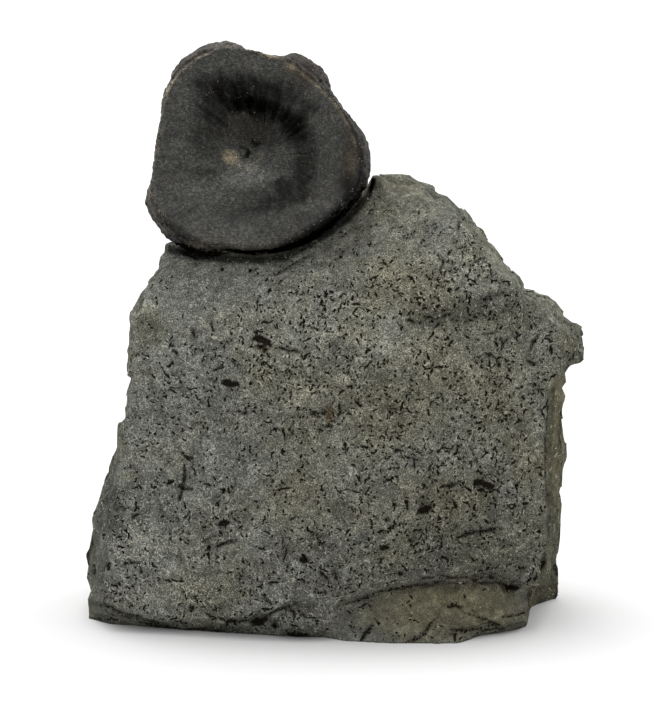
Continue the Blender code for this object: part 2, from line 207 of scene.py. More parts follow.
@dataclass(frozen=True)
class Viewpoint:
    """The camera, and how points of its picture lie on the object.

    Attributes:
        distance: from the camera to the target.
        elevation: of the camera above the target, in degrees.
        target: the point that the camera looks at.
        scale: picture points to a millimetre at the target.
        picture: width and height of the picture, in picture points.
        sensor: height of the sensor.
        clip: nearest and farthest distance that it sees, in m.
    """

    distance: float = 700.0
    elevation: float = 10.0
    target: Triple = (-0.54, -0.89, 71.8)
    scale: float = 3.655
    picture: tuple[int, int] = (665, 702)
    sensor: float = 36.0
    clip: Pair = (0.01, 50.0)

    def _axes(self) -> tuple[np.ndarray, np.ndarray, np.ndarray]:
        """Return the camera's right, up and forward directions.

        Returns:
            The three directions.
        """
        rise = math.radians(self.elevation)
        return (
            np.array([1.0, 0.0, 0.0]),
            np.array([0.0, math.sin(rise), math.cos(rise)]),
            np.array([0.0, math.cos(rise), -math.sin(rise)]),
        )

    def _focal(self) -> float:
        """Return the focal length in picture points."""
        return self.scale * self.distance

    def forward(self) -> np.ndarray:
        """Return the direction in which the camera looks."""
        return self._axes()[2]

    def location(self) -> np.ndarray:
        """Return the camera's place."""
        return np.array(self.target) - self.distance * self.forward()

    def turned(self, normals: np.ndarray) -> np.ndarray:
        """Return how far normals turn to the camera: 1 straight towards it, and 0 square to it."""
        return -normals @ self.forward()

    def seen(self, normals: np.ndarray) -> np.ndarray:
        """Return how fully surfaces with these normals belong to the visible side, from 0 to 1."""
        return smoothstep(*SEEN_RANGE, self.turned(normals))

    def project(self, points: np.ndarray) -> np.ndarray:
        """Find where places on the object lie in the picture.

        Args:
            points: places in mm, three columns.

        Returns:
            Picture points, two columns.
        """
        right, up, forward = self._axes()
        away = points - self.location()
        depth = away @ forward
        across = self.picture[0] / 2.0 + self._focal() * (away @ right) / depth
        down = self.picture[1] / 2.0 - self._focal() * (away @ up) / depth
        return np.stack([across, down], axis=1)

    def build(self) -> bpy.types.Object:
        """Make the camera and set it as the scene's own.

        Returns:
            The camera object.
        """
        data = bpy.data.cameras.new("front_view")
        data.sensor_fit = "VERTICAL"
        data.sensor_height = self.sensor
        data.sensor_width = self.sensor
        data.lens = self._focal() / self.picture[1] * self.sensor
        data.clip_start, data.clip_end = self.clip
        camera = bpy.data.objects.new("front_view", data)
        camera.location = Vector(self.location() * MM)
        camera.rotation_euler = (math.radians(90.0 - self.elevation), 0.0, 0.0)
        bpy.context.scene.collection.objects.link(camera)
        bpy.context.scene.camera = camera
        return camera


VIEW = Viewpoint()


# ---- meshes ----
SMOOTH_FACTOR = 0.5
WEIGHT_LEVELS = 8.0


def points_of(mesh: bpy.types.Mesh) -> np.ndarray:
    """Return a mesh's vertices in mm, three columns.

    Args:
        mesh: the mesh.

    Returns:
        One row for each vertex.
    """
    flat = np.empty(len(mesh.vertices) * 3)
    mesh.vertices.foreach_get("co", flat)
    return flat.reshape(-1, 3) / MM


def normals_of(mesh: bpy.types.Mesh) -> np.ndarray:
    """Return a mesh's vertex normals, three columns.

    Args:
        mesh: the mesh.

    Returns:
        One row for each vertex.
    """
    flat = np.empty(len(mesh.vertices) * 3)
    mesh.vertex_normals.foreach_get("vector", flat)
    return flat.reshape(-1, 3)


def move_points(mesh: bpy.types.Mesh, points: np.ndarray) -> None:
    """Write vertices in mm back to a mesh."""
    mesh.vertices.foreach_set("co", (points * MM).ravel())
    mesh.update()


def add_values(mesh: bpy.types.Mesh, name: str, values: np.ndarray) -> None:
    """Store one number, or three, at every vertex for the material to read.

    Args:
        mesh: the mesh.
        name: name of the attribute.
        values: one column, or three.
    """
    if values.ndim == 1:
        mesh.attributes.new(name, "FLOAT", "POINT").data.foreach_set("value", values)
    else:
        mesh.attributes.new(name, "FLOAT_VECTOR", "POINT").data.foreach_set("vector", values.ravel())


def apply_modifiers(piece: bpy.types.Object) -> None:
    """Replace a piece's mesh by the result of its modifiers.

    Args:
        piece: the piece.
    """
    depsgraph = bpy.context.evaluated_depsgraph_get()
    mesh = bpy.data.meshes.new_from_object(piece.evaluated_get(depsgraph))
    old = piece.data
    piece.modifiers.clear()
    piece.data = mesh
    bpy.data.meshes.remove(old)


def add_piece(name: str, mesh: bpy.types.Mesh) -> bpy.types.Object:
    """Put a mesh in the scene as a piece that stays with the object.

    Args:
        name: name of the piece.
        mesh: its mesh, in metres.

    Returns:
        The piece.
    """
    mesh.name = name
    piece = bpy.data.objects.new(name, mesh)
    bpy.context.scene.collection.objects.link(piece)
    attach(piece, "root")
    return piece


def dense_copy(node: str, name: str, voxel: float, smoothing: int) -> bpy.types.Object:
    """Make an even, finely divided and softened copy of a CAD node.

    Args:
        node: name of the node.
        name: name of the new piece.
        voxel: size of the new faces in mm.
        smoothing: number of smoothing passes.

    Returns:
        The new piece.
    """
    piece = add_piece(name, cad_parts[node].data.copy())
    remesh = piece.modifiers.new("even_faces", "REMESH")
    remesh.mode = "VOXEL"
    remesh.voxel_size = voxel * MM
    remesh.use_smooth_shade = True
    smooth = piece.modifiers.new("no_facets", "SMOOTH")
    smooth.factor = SMOOTH_FACTOR
    smooth.iterations = smoothing
    apply_modifiers(piece)
    return piece


def ease(piece: bpy.types.Object, weights: np.ndarray, passes: int) -> None:
    """Smooth a piece further where its weights are above 0.

    Args:
        piece: the piece.
        weights: weight of every vertex, from 0 to 1.
        passes: number of smoothing passes.
    """
    group = piece.vertex_groups.new(name="eased")
    levels = np.round(weights * WEIGHT_LEVELS) / WEIGHT_LEVELS
    for level in np.unique(levels[levels > 0.0]):
        group.add(np.flatnonzero(levels == level).tolist(), float(level), "REPLACE")
    smooth = piece.modifiers.new("eased", "SMOOTH")
    smooth.factor = SMOOTH_FACTOR
    smooth.iterations = passes
    smooth.vertex_group = group.name
    apply_modifiers(piece)
    piece.vertex_groups.clear()


def thin_out(piece: bpy.types.Object, triangles: int, kept: np.ndarray | None = None) -> None:
    """Reduce a piece to a number of triangles, keeping them where the shape needs them.

    Args:
        piece: the piece.
        triangles: number of triangles to end with.
        kept: true at the vertices that all stay, or None.
    """
    fewer = piece.modifiers.new("fewer_faces", "DECIMATE")
    fewer.ratio = min(1.0, triangles / (2.0 * len(piece.data.polygons)))
    if kept is not None:
        group = piece.vertex_groups.new(name="kept")
        group.add(np.flatnonzero(kept).tolist(), 1.0, "REPLACE")
        fewer.vertex_group = group.name
        fewer.invert_vertex_group = True
    apply_modifiers(piece)
    piece.vertex_groups.clear()
    piece.data.shade_smooth()


def hold_inside(piece: bpy.types.Object, node: str) -> None:
    """Bring points that ended up outside a CAD node's box back to its sides."""
    low, high = (np.array(corner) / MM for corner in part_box(node))
    move_points(piece.data, np.clip(points_of(piece.data), low, high))


def distance_to_path(points: np.ndarray, path: PicturePath) -> tuple[np.ndarray, np.ndarray, np.ndarray]:
    """Measure how far picture points lie from a path.

    Args:
        points: picture points, two columns.
        path: corners of the path.

    Returns:
        Distance in mm, share of the way along the path, and side of the path (+1 below or left of it).
    """
    corners = np.array(path, dtype=float)
    lengths = np.hypot(*(corners[1:] - corners[:-1]).T)
    starts = np.concatenate(([0.0], np.cumsum(lengths)))
    best = np.full(len(points), FAR_OFF)
    along = np.zeros(len(points))
    side = np.ones(len(points))
    for index, length in enumerate(lengths):
        first, step = corners[index], corners[index + 1] - corners[index]
        away = points - first
        share = np.clip(away @ step / length**2, 0.0, 1.0)
        gap = np.hypot(*(away - share[:, None] * step).T)
        closer = gap < best
        best = np.where(closer, gap, best)
        along = np.where(closer, (starts[index] + share * length) / starts[-1], along)
        cross = step[0] * away[:, 1] - step[1] * away[:, 0]
        side = np.where(closer, np.sign(cross), side)
    return best / VIEW.scale, along, side


# ---- marks placed on the visible side ----
PATCH_FADE = (0.35, 1.25)
STROKE_FADE = (0.25, 1.0)
MARK_TIP = 0.6
MARK_TIP_RISE = 5.0
MARK_RISE = 0.8
CRACK_TIP_DEPTH = 0.35
CRACK_TIP_RISE = 6.0
CRACK_TIP_WIDTH = 0.4
STEP_ENDS = (0.0, 0.15)
BEVEL_ENDS = (-0.01, 0.06)
BEVEL_EDGE = 0.5


@dataclass(frozen=True)
class Patch:
    """A soft oval area on the visible side.

    Attributes:
        centre: its middle, a picture point.
        reach: half its width and half its height, in picture points.
        amount: its strength in the middle.
        turn: anticlockwise turn in degrees.
    """

    centre: PicturePoint
    reach: Pair
    amount: float
    turn: float = 0.0

    def at(self, points: np.ndarray) -> np.ndarray:
        """Return the patch's strength at picture points.

        Args:
            points: the points, two columns.

        Returns:
            The strength at each of them.
        """
        turn = math.radians(self.turn)
        away = points - np.array(self.centre)
        across = (away[:, 0] * math.cos(turn) - away[:, 1] * math.sin(turn)) / self.reach[0]
        down = (away[:, 0] * math.sin(turn) + away[:, 1] * math.cos(turn)) / self.reach[1]
        return self.amount * (1.0 - smoothstep(*PATCH_FADE, np.hypot(across, down)))


@dataclass(frozen=True)
class Zone:
    """An area with a drawn outline on the visible side.

    Attributes:
        outline: its corners, picture points.
        amount: its strength inside.
        soft: half the width in mm over which it fades at its outline.
    """

    outline: PicturePath
    amount: float
    soft: float = 1.0

    def at(self, points: np.ndarray) -> np.ndarray:
        """Return the zone's strength at picture points.

        Args:
            points: picture points, two columns.

        Returns:
            The strength at every point.
        """
        gap, _, _ = distance_to_path(points, (*self.outline, self.outline[0]))
        corners = np.array(self.outline)
        inside = np.zeros(len(points), dtype=bool)
        for first, second in zip(corners, np.roll(corners, -1, axis=0)):
            if first[1] == second[1]:
                continue
            between = (points[:, 1] < first[1]) != (points[:, 1] < second[1])
            cut = first[0] + (points[:, 1] - first[1]) * (second[0] - first[0]) / (second[1] - first[1])
            inside ^= between & (points[:, 0] < cut)
        return self.amount * smoothstep(-self.soft, self.soft, np.where(inside, gap, -gap))


@dataclass(frozen=True)
class Stroke:
    """A soft line on the visible side.

    Attributes:
        path: picture points along it.
        reach: distance in mm at which it has faded out.
        amount: its strength in the middle.
    """

    path: PicturePath
    reach: float
    amount: float

    def at(self, points: np.ndarray) -> np.ndarray:
        """Return the stroke's strength at picture points."""
        gap, _, _ = distance_to_path(points, self.path)
        return self.amount * (1.0 - smoothstep(*STROKE_FADE, gap / self.reach))


Area = Patch | Zone | Stroke


def areas_at(points: np.ndarray, areas: tuple[Area, ...]) -> np.ndarray:
    """Return the summed strength of several areas at picture points."""
    return sum((area.at(points) for area in areas), np.zeros(len(points)))


def areas_joined(points: np.ndarray, areas: tuple[Area, ...]) -> np.ndarray:
    """Return the strength of overlapping areas at picture points, which never passes 1."""
    return 1.0 - math.prod(1.0 - np.clip(area.at(points), 0.0, 1.0) for area in areas)


@dataclass(frozen=True)
class Mark:
    """A dark fragment, or a dark line such as a painted shadow line, on the visible side.

    Attributes:
        path: picture points along it.
        width: full width in mm.
    """

    path: PicturePath
    width: float

    def inside(self, points: np.ndarray) -> np.ndarray:
        """Measure how far inside the mark picture points lie.

        Args:
            points: picture points, two columns.

        Returns:
            A value at every point: 0.5 on its edge, and more inside.
        """
        gap, along, _ = distance_to_path(points, self.path)
        full = np.clip(np.minimum(along, 1.0 - along) * MARK_TIP_RISE, 0.0, 1.0)
        taper = MARK_TIP + (1.0 - MARK_TIP) * full
        return 0.5 + MARK_RISE * (0.5 * self.width * taper - gap)


def deepest_mark(points: np.ndarray, marks: tuple[Mark, ...]) -> np.ndarray:
    """Return how far picture points lie inside the nearest of several marks, from 0 to 1."""
    return np.clip(np.max([mark.inside(points) for mark in marks], axis=0), 0.0, 1.0)


@dataclass(frozen=True)
class Crack:
    """A groove along a path on the visible side.

    Attributes:
        path: picture points along it.
        width: full width in mm.
        depth: depth in mm.
        line: full width in mm of the painted shadow line in it, or 0 where it has none.
    """

    path: PicturePath
    width: float
    depth: float
    line: float = 0.0

    def depth_at(self, points: np.ndarray) -> np.ndarray:
        """Return the groove's depth at picture points; it tapers towards both ends.

        Args:
            points: picture points, two columns.

        Returns:
            The depth in mm at every point.
        """
        gap, along, _ = distance_to_path(points, self.path)
        taper = np.clip(np.minimum(along, 1.0 - along) * CRACK_TIP_RISE + CRACK_TIP_DEPTH, 0.0, 1.0)
        width = self.width * (CRACK_TIP_WIDTH + (1.0 - CRACK_TIP_WIDTH) * taper)
        return self.depth * taper * (1.0 - smoothstep(0.0, 1.0, gap / width))


def shadow_lines_of(cracks: tuple[Crack, ...]) -> tuple[Mark, ...]:
    """Return the painted shadow lines in cracks."""
    return tuple(Mark(crack.path, crack.line) for crack in cracks if crack.line)


def between_ends(along: np.ndarray, rise: Pair) -> np.ndarray:
    """Return 1 along the middle of a path, with a rise from 0 at both of its ends."""
    start, full = rise
    return smoothstep(start, full, along) * (1.0 - smoothstep(1.0 - full, 1.0 - start, along))


@dataclass(frozen=True)
class Step:
    """A line below which the surface lies deeper.

    Attributes:
        path: picture points along it, from left to right where the lower side lies below.
        drop: how much deeper the surface lies just past the line, in mm.
        fade: distance in mm over which it comes back out.
        sharp: width of the step itself in mm.
    """

    path: PicturePath
    drop: float
    fade: float
    sharp: float = 0.5

    def depth_at(self, points: np.ndarray) -> np.ndarray:
        """Return the step's depth at picture points.

        Args:
            points: picture points, two columns.

        Returns:
            The depth in mm at every point.
        """
        gap, along, side = distance_to_path(points, self.path)
        past = gap * side
        back = 1.0 - smoothstep(self.sharp, self.fade, past)
        return self.drop * between_ends(along, STEP_ENDS) * smoothstep(0.0, self.sharp, past) * back


@dataclass(frozen=True)
class Bevel:
    """A line past which the surface slopes away from the viewer.

    Attributes:
        path: picture points along it; the slope lies below a path that runs to the right.
        drop: depth of the step at the line in mm.
        slope: depth gained with every mm past it.
        reach: distance in mm over which it gains depth.
    """

    path: PicturePath
    drop: float
    slope: float
    reach: float

    def depth_at(self, points: np.ndarray) -> np.ndarray:
        """Return the depth at picture points.

        Args:
            points: picture points, two columns.

        Returns:
            The depth in mm at every point.
        """
        gap, along, side = distance_to_path(points, self.path)
        past = np.clip(gap * side, 0.0, self.reach)
        depth = self.drop * smoothstep(0.0, BEVEL_EDGE, past) + self.slope * past
        return between_ends(along, BEVEL_ENDS) * depth


@dataclass(frozen=True)
class Shift:
    """A small move of all that is seen around one picture point.

    Attributes:
        patch: where, and how strongly in the middle.
        move: how far, to the right and upwards, in mm.
    """

    patch: Patch
    move: Pair

    def offsets(self, picture: np.ndarray) -> np.ndarray:
        """Return the (n, 3) moves for points seen at picture points."""
        right, up = self.move
        return self.patch.at(picture)[:, None] * np.array([right, 0.0, up])


# ---- outlines and cracks that several tables use ----
RIGHT_SHOULDER = ((477, 232), (488, 256), (498, 274), (512, 284), (520, 278), (492, 236), (480, 222))
LEFT_FLANK = (
    (124, 425), (116, 462), (110, 500), (107, 540), (105, 580), (101, 606), (80, 606), (84, 540),
    (104, 470))
LEFT_CORNER = (
    (80, 596), (97, 602), (112, 605), (124, 612), (136, 615), (150, 620), (165, 625), (186, 630),
    (150, 645), (80, 640))
SCAR = (
    (335, 612), (375, 596), (402, 590), (445, 584), (505, 592), (530, 592), (530, 632), (462, 640),
    (430, 645), (335, 645))
RIGHT_FACE = (
    (549, 388), (557, 376), (570, 378), (570, 620), (529, 620), (538, 576), (545, 545), (547, 500),
    (543, 455), (547, 430))
FACE_SCRATCH = ((278, 348), (288, 350), (300, 352))
UPPER_CRACK = ((275, 275), (290, 266), (310, 255))
NOSE_CRACK = ((530, 350), (534, 341), (540, 333))
LOW_CRACK = ((455, 540), (466, 534), (478, 532), (490, 530), (500, 528))


# ---- materials ----
Socket = bpy.types.NodeSocket
Colour = Triple

# The mix node has separate sockets for numbers, vectors and colours: these are the colours' own.
MIX_INPUTS = (0, 6, 7)
MIX_OUTPUT = 2
SEED_SKEW = 0.61


def from_screen(red: float, green: float, blue: float) -> Colour:
    """Turn a screen colour of 0 to 255 into the linear colour that the shader takes.

    Args:
        red: its red.
        green: its green.
        blue: its blue.

    Returns:
        The linear colour.
    """

    def linear(value: float) -> float:
        """Return one channel as a linear value."""
        share = value / 255.0
        return share / 12.92 if share <= 0.04045 else ((share + 0.055) / 1.055) ** 2.4

    return linear(red), linear(green), linear(blue)


@dataclass(frozen=True)
class NoiseLayer:
    """One size of procedural noise.

    Attributes:
        size: size of a lump in mm.
        detail: number of finer layers.
        rough: strength of the finer layers.
        bent: distortion.
    """

    size: float
    detail: float = 2.0
    rough: float = 0.5
    bent: float = 0.0


@dataclass(frozen=True)
class Ramp:
    """A change from one number to another with soft ends.

    Attributes:
        low: value at which it starts.
        high: value at which it ends.
        start: result up to the start.
        end: result past the end.
    """

    low: float
    high: float
    start: float = 0.0
    end: float = 1.0


class NodeSheet:
    """A node tree, with short calls for the sums that the looks use."""

    def __init__(self, tree: bpy.types.NodeTree) -> None:
        """Start with a tree that may have nodes already."""
        self.tree = tree

    def node(self, kind: str, inputs: dict | None = None, **settings: object) -> bpy.types.Node:
        """Add a node.

        Args:
            kind: name of its type.
            inputs: what goes into its sockets, by name or number.
            settings: its other settings.

        Returns:
            The node.
        """
        node = self.tree.nodes.new(kind)
        for name, value in settings.items():
            setattr(node, name, value)
        for name, value in (inputs or {}).items():
            self.put(node.inputs[name], value)
        return node

    def put(self, socket: Socket, value: object) -> None:
        """Link a socket to another one, or give it a fixed value.

        Args:
            socket: the socket.
            value: another socket, or the value.
        """
        if isinstance(value, bpy.types.NodeSocket):
            self.tree.links.new(value, socket)
        elif isinstance(value, tuple) and socket.type == "RGBA":
            socket.default_value = (*value, 1.0)
        else:
            socket.default_value = value

    def math(self, operation: str, *numbers: object, clamp: bool = False) -> Socket:
        """Combine numbers by a named operation; with clamp, the result stays between 0 and 1."""
        inputs = dict(enumerate(numbers))
        return self.node("ShaderNodeMath", inputs, operation=operation, use_clamp=clamp).outputs[0]

    def times(self, first: object, *others: object) -> Socket:
        """Multiply two numbers or more.

        Args:
            first: the first number.
            others: the others.

        Returns:
            The product.
        """
        for other in others:
            first = self.math("MULTIPLY", first, other)
        return first

    def centred(self, noise: Socket, strength: object) -> Socket:
        """Turn noise around 0.5 into noise around 0, and multiply it by a strength."""
        return self.times(self.math("SUBTRACT", noise, 0.5), strength)

    def facing(self, place: Socket, direction: Triple) -> Socket:
        """Return how far a place lies in a direction."""
        inputs = {0: place, 1: direction}
        return self.node("ShaderNodeVectorMath", inputs, operation="DOT_PRODUCT").outputs["Value"]


class MaterialSheet(NodeSheet):
    """A material's nodes, with short calls for those that the finishes use."""

    def __init__(self, name: str) -> None:
        """Start a material with its shader.

        Args:
            name: name of the material.
        """
        self.material = bpy.data.materials.new(name)
        self.material.use_nodes = True
        super().__init__(self.material.node_tree)
        self.shader = self.tree.nodes["Principled BSDF"]

    def place(self) -> Socket:
        """Return the place on the object in mm."""
        return self.scaled(self.node("ShaderNodeTexCoord").outputs["Object"], 1.0 / MM)

    def stored(self, name: str, output: str = "Fac") -> Socket:
        """Return a number, or with the output Vector three numbers, stored at the vertices."""
        return self.node("ShaderNodeAttribute", attribute_name=name).outputs[output]

    def vector(self, operation: str, first: object, second: object) -> Socket:
        """Combine two vectors by a named operation."""
        inputs = {0: first, 1: second}
        return self.node("ShaderNodeVectorMath", inputs, operation=operation).outputs["Vector"]

    def scaled(self, vector: object, factor: object) -> Socket:
        """Multiply a vector or a colour by a number."""
        inputs = {0: vector, "Scale": factor}
        return self.node("ShaderNodeVectorMath", inputs, operation="SCALE").outputs["Vector"]

    def channels(self, colour: Socket) -> list[Socket]:
        """Return the red, green and blue of a colour."""
        return list(self.node("ShaderNodeSeparateColor", {0: colour}).outputs)

    def spread(self, value: object, ramp: Ramp) -> Socket:
        """Map a number along a ramp.

        Args:
            value: the number.
            ramp: the ramp.

        Returns:
            The mapped number.
        """
        ends = {"From Min": ramp.low, "From Max": ramp.high, "To Min": ramp.start, "To Max": ramp.end}
        node = self.node("ShaderNodeMapRange", {"Value": value, **ends}, interpolation_type="SMOOTHSTEP")
        return node.outputs["Result"]

    def noise(self, place: Socket, layer: NoiseLayer) -> Socket:
        """Return noise between 0 and 1 at coordinates in mm.

        Args:
            place: the coordinates.
            layer: size and character of the noise.

        Returns:
            The noise.
        """
        inputs = {"Vector": place, "Scale": 1.0 / layer.size, "Detail": layer.detail}
        inputs |= {"Roughness": layer.rough, "Distortion": layer.bent}
        return self.node("ShaderNodeTexNoise", inputs).outputs["Fac"]

    def cells(self, place: Socket, size: float, flat: bool = False) -> bpy.types.Node:
        """Return the node of a pattern of cells, whose size is in mm and whose positions are in cells."""
        inputs = {"Vector": self.scaled(place, 1.0 / size), "Scale": 1.0}
        return self.node("ShaderNodeTexVoronoi", inputs, voronoi_dimensions="2D" if flat else "3D")

    def mix(self, share: object, first: object, second: object) -> Socket:
        """Mix two colours by the share of the second."""
        inputs = dict(zip(MIX_INPUTS, (share, first, second)))
        return self.node("ShaderNodeMix", inputs, data_type="RGBA").outputs[MIX_OUTPUT]

    def contrast(self, noise: Socket, strength: object) -> Socket:
        """Turn noise into a factor around 1; at a strength of 1, it goes from 0.7 to 1.4 or so."""
        return self.math("POWER", math.e, self.centred(noise, strength))

    def bend(self, height: Socket, distance: float, strength: float) -> None:
        """Bend the shader's normal by a height from 0 to 1; the distance in mm is what 1 stands for."""
        inputs = {"Height": height, "Distance": distance * MM, "Strength": strength}
        self.put(self.shader.inputs["Normal"], self.node("ShaderNodeBump", inputs).outputs["Normal"])

    def surface(self, colour: object, roughness: float, gloss: object) -> None:
        """Give the shader its finish.

        Args:
            colour: the colour.
            roughness: the roughness.
            gloss: strength of the reflections.
        """
        self.put(self.shader.inputs["Base Color"], colour)
        self.put(self.shader.inputs["Roughness"], roughness)
        self.put(self.shader.inputs["Specular IOR Level"], gloss)


class Tone(Enum):
    """Whether the strokes of a layer are darker or paler than the rock."""

    DARK = "dark"
    PALE = "pale"


@dataclass(frozen=True)
class DashLayer:
    """One layer of short strokes in the rock.

    Attributes:
        cell: size in mm of the area that holds one stroke at most.
        half_length: half the length of a long stroke, in cells.
        half_width: half its width, in cells.
        share: share of the cells that have a stroke where the rock is thickly speckled.
        seed: shifts the pattern.
        tone: whether they are dark or pale.
        shortest: length of the shortest stroke, as a share of the longest.
        bow: how far a stroke may bend, as a share of half its length.
    """

    cell: float
    half_length: float
    half_width: float
    share: float
    seed: float
    tone: Tone = Tone.DARK
    shortest: float = 0.25
    bow: float = 0.45

    def mask(self, sheet: MaterialSheet, lay: Socket, ragged: Socket, thickness: Socket) -> Socket:
        """Draw the layer.

        Args:
            sheet: the material's nodes.
            lay: flat coordinates on the surface in mm.
            ragged: factor that makes the strokes' edges uneven.
            thickness: how thickly the rock is speckled, from 0 to 1.

        Returns:
            1 inside a stroke and 0 outside.
        """
        moved = sheet.vector("ADD", lay, (self.seed, self.seed * SEED_SKEW, 0.0))
        pattern = sheet.cells(moved, self.cell, flat=True)
        away = sheet.vector("SUBTRACT", sheet.scaled(moved, 1.0 / self.cell), pattern.outputs["Position"])
        direction, length, bow = sheet.channels(pattern.outputs["Color"])
        turn = {"Vector": away, "Angle": sheet.times(direction, 2.0 * math.pi)}
        turned = sheet.node("ShaderNodeVectorRotate", turn, rotation_type="Z_AXIS")
        parts = sheet.node("ShaderNodeSeparateXYZ", {0: turned.outputs[0]})
        along = sheet.math("DIVIDE", parts.outputs[0], sheet.spread(length, Ramp(0.0, 1.0, self.shortest)))
        along = sheet.math("DIVIDE", along, self.half_length)
        square = sheet.times(along, along)
        bent = sheet.times(square, sheet.centred(bow, self.half_length * self.bow))
        across = sheet.math("ABSOLUTE", sheet.math("ADD", parts.outputs[1], bent))
        narrowed = sheet.math("SUBTRACT", 1.0, sheet.times(square, square), clamp=True)
        inside = sheet.math("GREATER_THAN", sheet.times(narrowed, ragged, self.half_width), across)
        cell = {"Vector": pattern.outputs["Position"]}
        chance = sheet.node("ShaderNodeTexWhiteNoise", cell, noise_dimensions="2D")
        kept = sheet.math("LESS_THAN", chance.outputs["Value"], sheet.times(thickness, self.share))
        return sheet.times(inside, kept)


@dataclass(frozen=True)
class MudstoneFinish:
    """Grey-green mudstone full of small dark strokes and pale fibres.

    Attributes:
        cool: colour of its greenish areas.
        warm: colour of its brownish areas.
        dark: colour of the fragments and strokes, and of the painted shadow lines in cracks and pits.
        rusty_dark: colour of the browner ones.
        pale: colour of the pale fibres.
        rust: colour of the rusty stains.
        curl: how far the strokes waver, in mm.
        curl_bends: noise that they waver with.
        dashes: layers of strokes, the pale ones first, each from fine to coarse.
        ragged: width of the strokes against the grains, which makes their edges uneven.
        whiteness: strength of the pale strokes against how thickly they lie.
        blackness: strength of the dark strokes.
        rustiness: share of the browner dark colour against the grains.
        fine: the fine mottling.
        fine_contrast: spread of its brightness.
        grit: the grains.
        grit_contrast: spread of their brightness.
        edge_grit: how far the grains eat into the edge of a fragment or a painted shadow line.
        edge_fine: the same for the fine mottling.
        edge: the edge of a fragment or a painted shadow line.
        relief_shares: shares of the mottling and the grains in the fine relief.
        relief: height of the fine relief in mm.
        roughness: of the surface.
        gloss: strength of its reflections.
    """

    cool: Colour = from_screen(93, 94, 88)
    warm: Colour = from_screen(96, 93, 76)
    dark: Colour = from_screen(9, 8, 6)
    rusty_dark: Colour = from_screen(24, 17, 10)
    pale: Colour = from_screen(160, 158, 143)
    rust: Colour = from_screen(66, 54, 34)
    curl: float = 1.1
    curl_bends: NoiseLayer = NoiseLayer(1.5, 1.0)
    dashes: tuple[DashLayer, ...] = (
        DashLayer(cell=1.0, half_length=0.46, half_width=0.14, share=0.7, seed=53.0, tone=Tone.PALE),
        DashLayer(cell=1.9, half_length=0.47, half_width=0.08, share=0.7, seed=71.0, tone=Tone.PALE),
        DashLayer(cell=1.2, half_length=0.44, half_width=0.17, share=0.55, seed=11.0),
        DashLayer(cell=1.9, half_length=0.46, half_width=0.12, share=0.75, seed=37.0),
        DashLayer(cell=3.6, half_length=0.45, half_width=0.075, share=0.75, seed=97.0),
    )
    ragged: Ramp = Ramp(0.35, 0.65, 0.55, 1.4)
    whiteness: Ramp = Ramp(0.6, 1.3, 0.64, 0.95)
    blackness: float = 0.97
    rustiness: Ramp = Ramp(0.4, 0.65)
    fine: NoiseLayer = NoiseLayer(1.0, 2.0, 0.65, 0.8)
    fine_contrast: float = 1.7
    grit: NoiseLayer = NoiseLayer(0.34, 1.0, 0.6)
    grit_contrast: float = 4.2
    edge_grit: float = 1.5
    edge_fine: float = 1.3
    edge: Ramp = Ramp(0.44, 0.56, 0.0, 0.96)
    relief_shares: Pair = (0.6, 0.4)
    relief: float = 0.5
    roughness: float = 0.95
    gloss: float = 0.0

    def build(self) -> bpy.types.Material:
        """Make the material.

        Returns:
            The material; it reads lay, speckle, pale, warmth, shade, vigour, rust and dark at the vertices.
        """
        sheet = MaterialSheet(ROCK_SLOT)
        place = sheet.place()
        fine, grit = sheet.noise(place, self.fine), sheet.noise(place, self.grit)
        colour = sheet.mix(sheet.stored("warmth"), self.cool, self.warm)
        colour = sheet.mix(sheet.stored("rust"), colour, self.rust)
        vigour = sheet.stored("vigour")
        # The stored shade is painted light and shade; the two contrasts are the rock's own mottling and
        # grains.
        light = sheet.times(
            sheet.stored("shade"),
            sheet.contrast(fine, sheet.times(vigour, self.fine_contrast)),
            sheet.contrast(grit, sheet.times(vigour, self.grit_contrast)),
        )
        dark = sheet.mix(sheet.spread(grit, self.rustiness), self.dark, self.rusty_dark)
        colour = self._stroked(sheet, sheet.scaled(colour, light), dark, grit)
        edge = sheet.math("ADD", sheet.stored("dark"), sheet.centred(grit, self.edge_grit))
        edge = sheet.math("ADD", edge, sheet.centred(fine, self.edge_fine))
        colour = sheet.mix(sheet.spread(edge, self.edge), colour, dark)
        sheet.surface(colour, self.roughness, self.gloss)
        fine_share, grit_share = self.relief_shares
        height = sheet.math("ADD", sheet.times(fine, fine_share), sheet.times(grit, grit_share))
        sheet.bend(height, self.relief, 1.0)
        return sheet.material

    def _stroked(self, sheet: MaterialSheet, colour: Socket, dark: Socket, grit: Socket) -> Socket:
        """Draw the pale fibres and the dark strokes over a colour.

        Args:
            sheet: the material's nodes.
            colour: colour of the rock.
            dark: colour of the dark strokes.
            grit: the noise of the grains.

        Returns:
            The colour with its strokes.
        """
        lay, ragged, pale = self._curled(sheet), sheet.spread(grit, self.ragged), sheet.stored("pale")
        looks = {
            Tone.PALE: (pale, sheet.spread(pale, self.whiteness), self.pale),
            Tone.DARK: (sheet.stored("speckle"), self.blackness, dark),
        }
        for layer in self.dashes:
            thickness, strength, ink = looks[layer.tone]
            mask = layer.mask(sheet, lay, ragged, thickness)
            colour = sheet.mix(sheet.times(mask, strength), colour, ink)
        return colour

    def _curled(self, sheet: MaterialSheet) -> Socket:
        """Bend the flat coordinates.

        Args:
            sheet: the material's nodes.

        Returns:
            Flat coordinates that waver, so that the strokes drawn in them curl.
        """
        lay = sheet.stored("lay", "Vector")
        bends = {"Vector": lay, "Scale": 1.0 / self.curl_bends.size, "Detail": self.curl_bends.detail}
        waver = sheet.node("ShaderNodeTexNoise", bends, noise_dimensions="2D")
        offset = sheet.vector("SUBTRACT", waver.outputs["Color"], (0.5, 0.5, 0.5))
        return sheet.vector("ADD", lay, sheet.scaled(offset, self.curl))


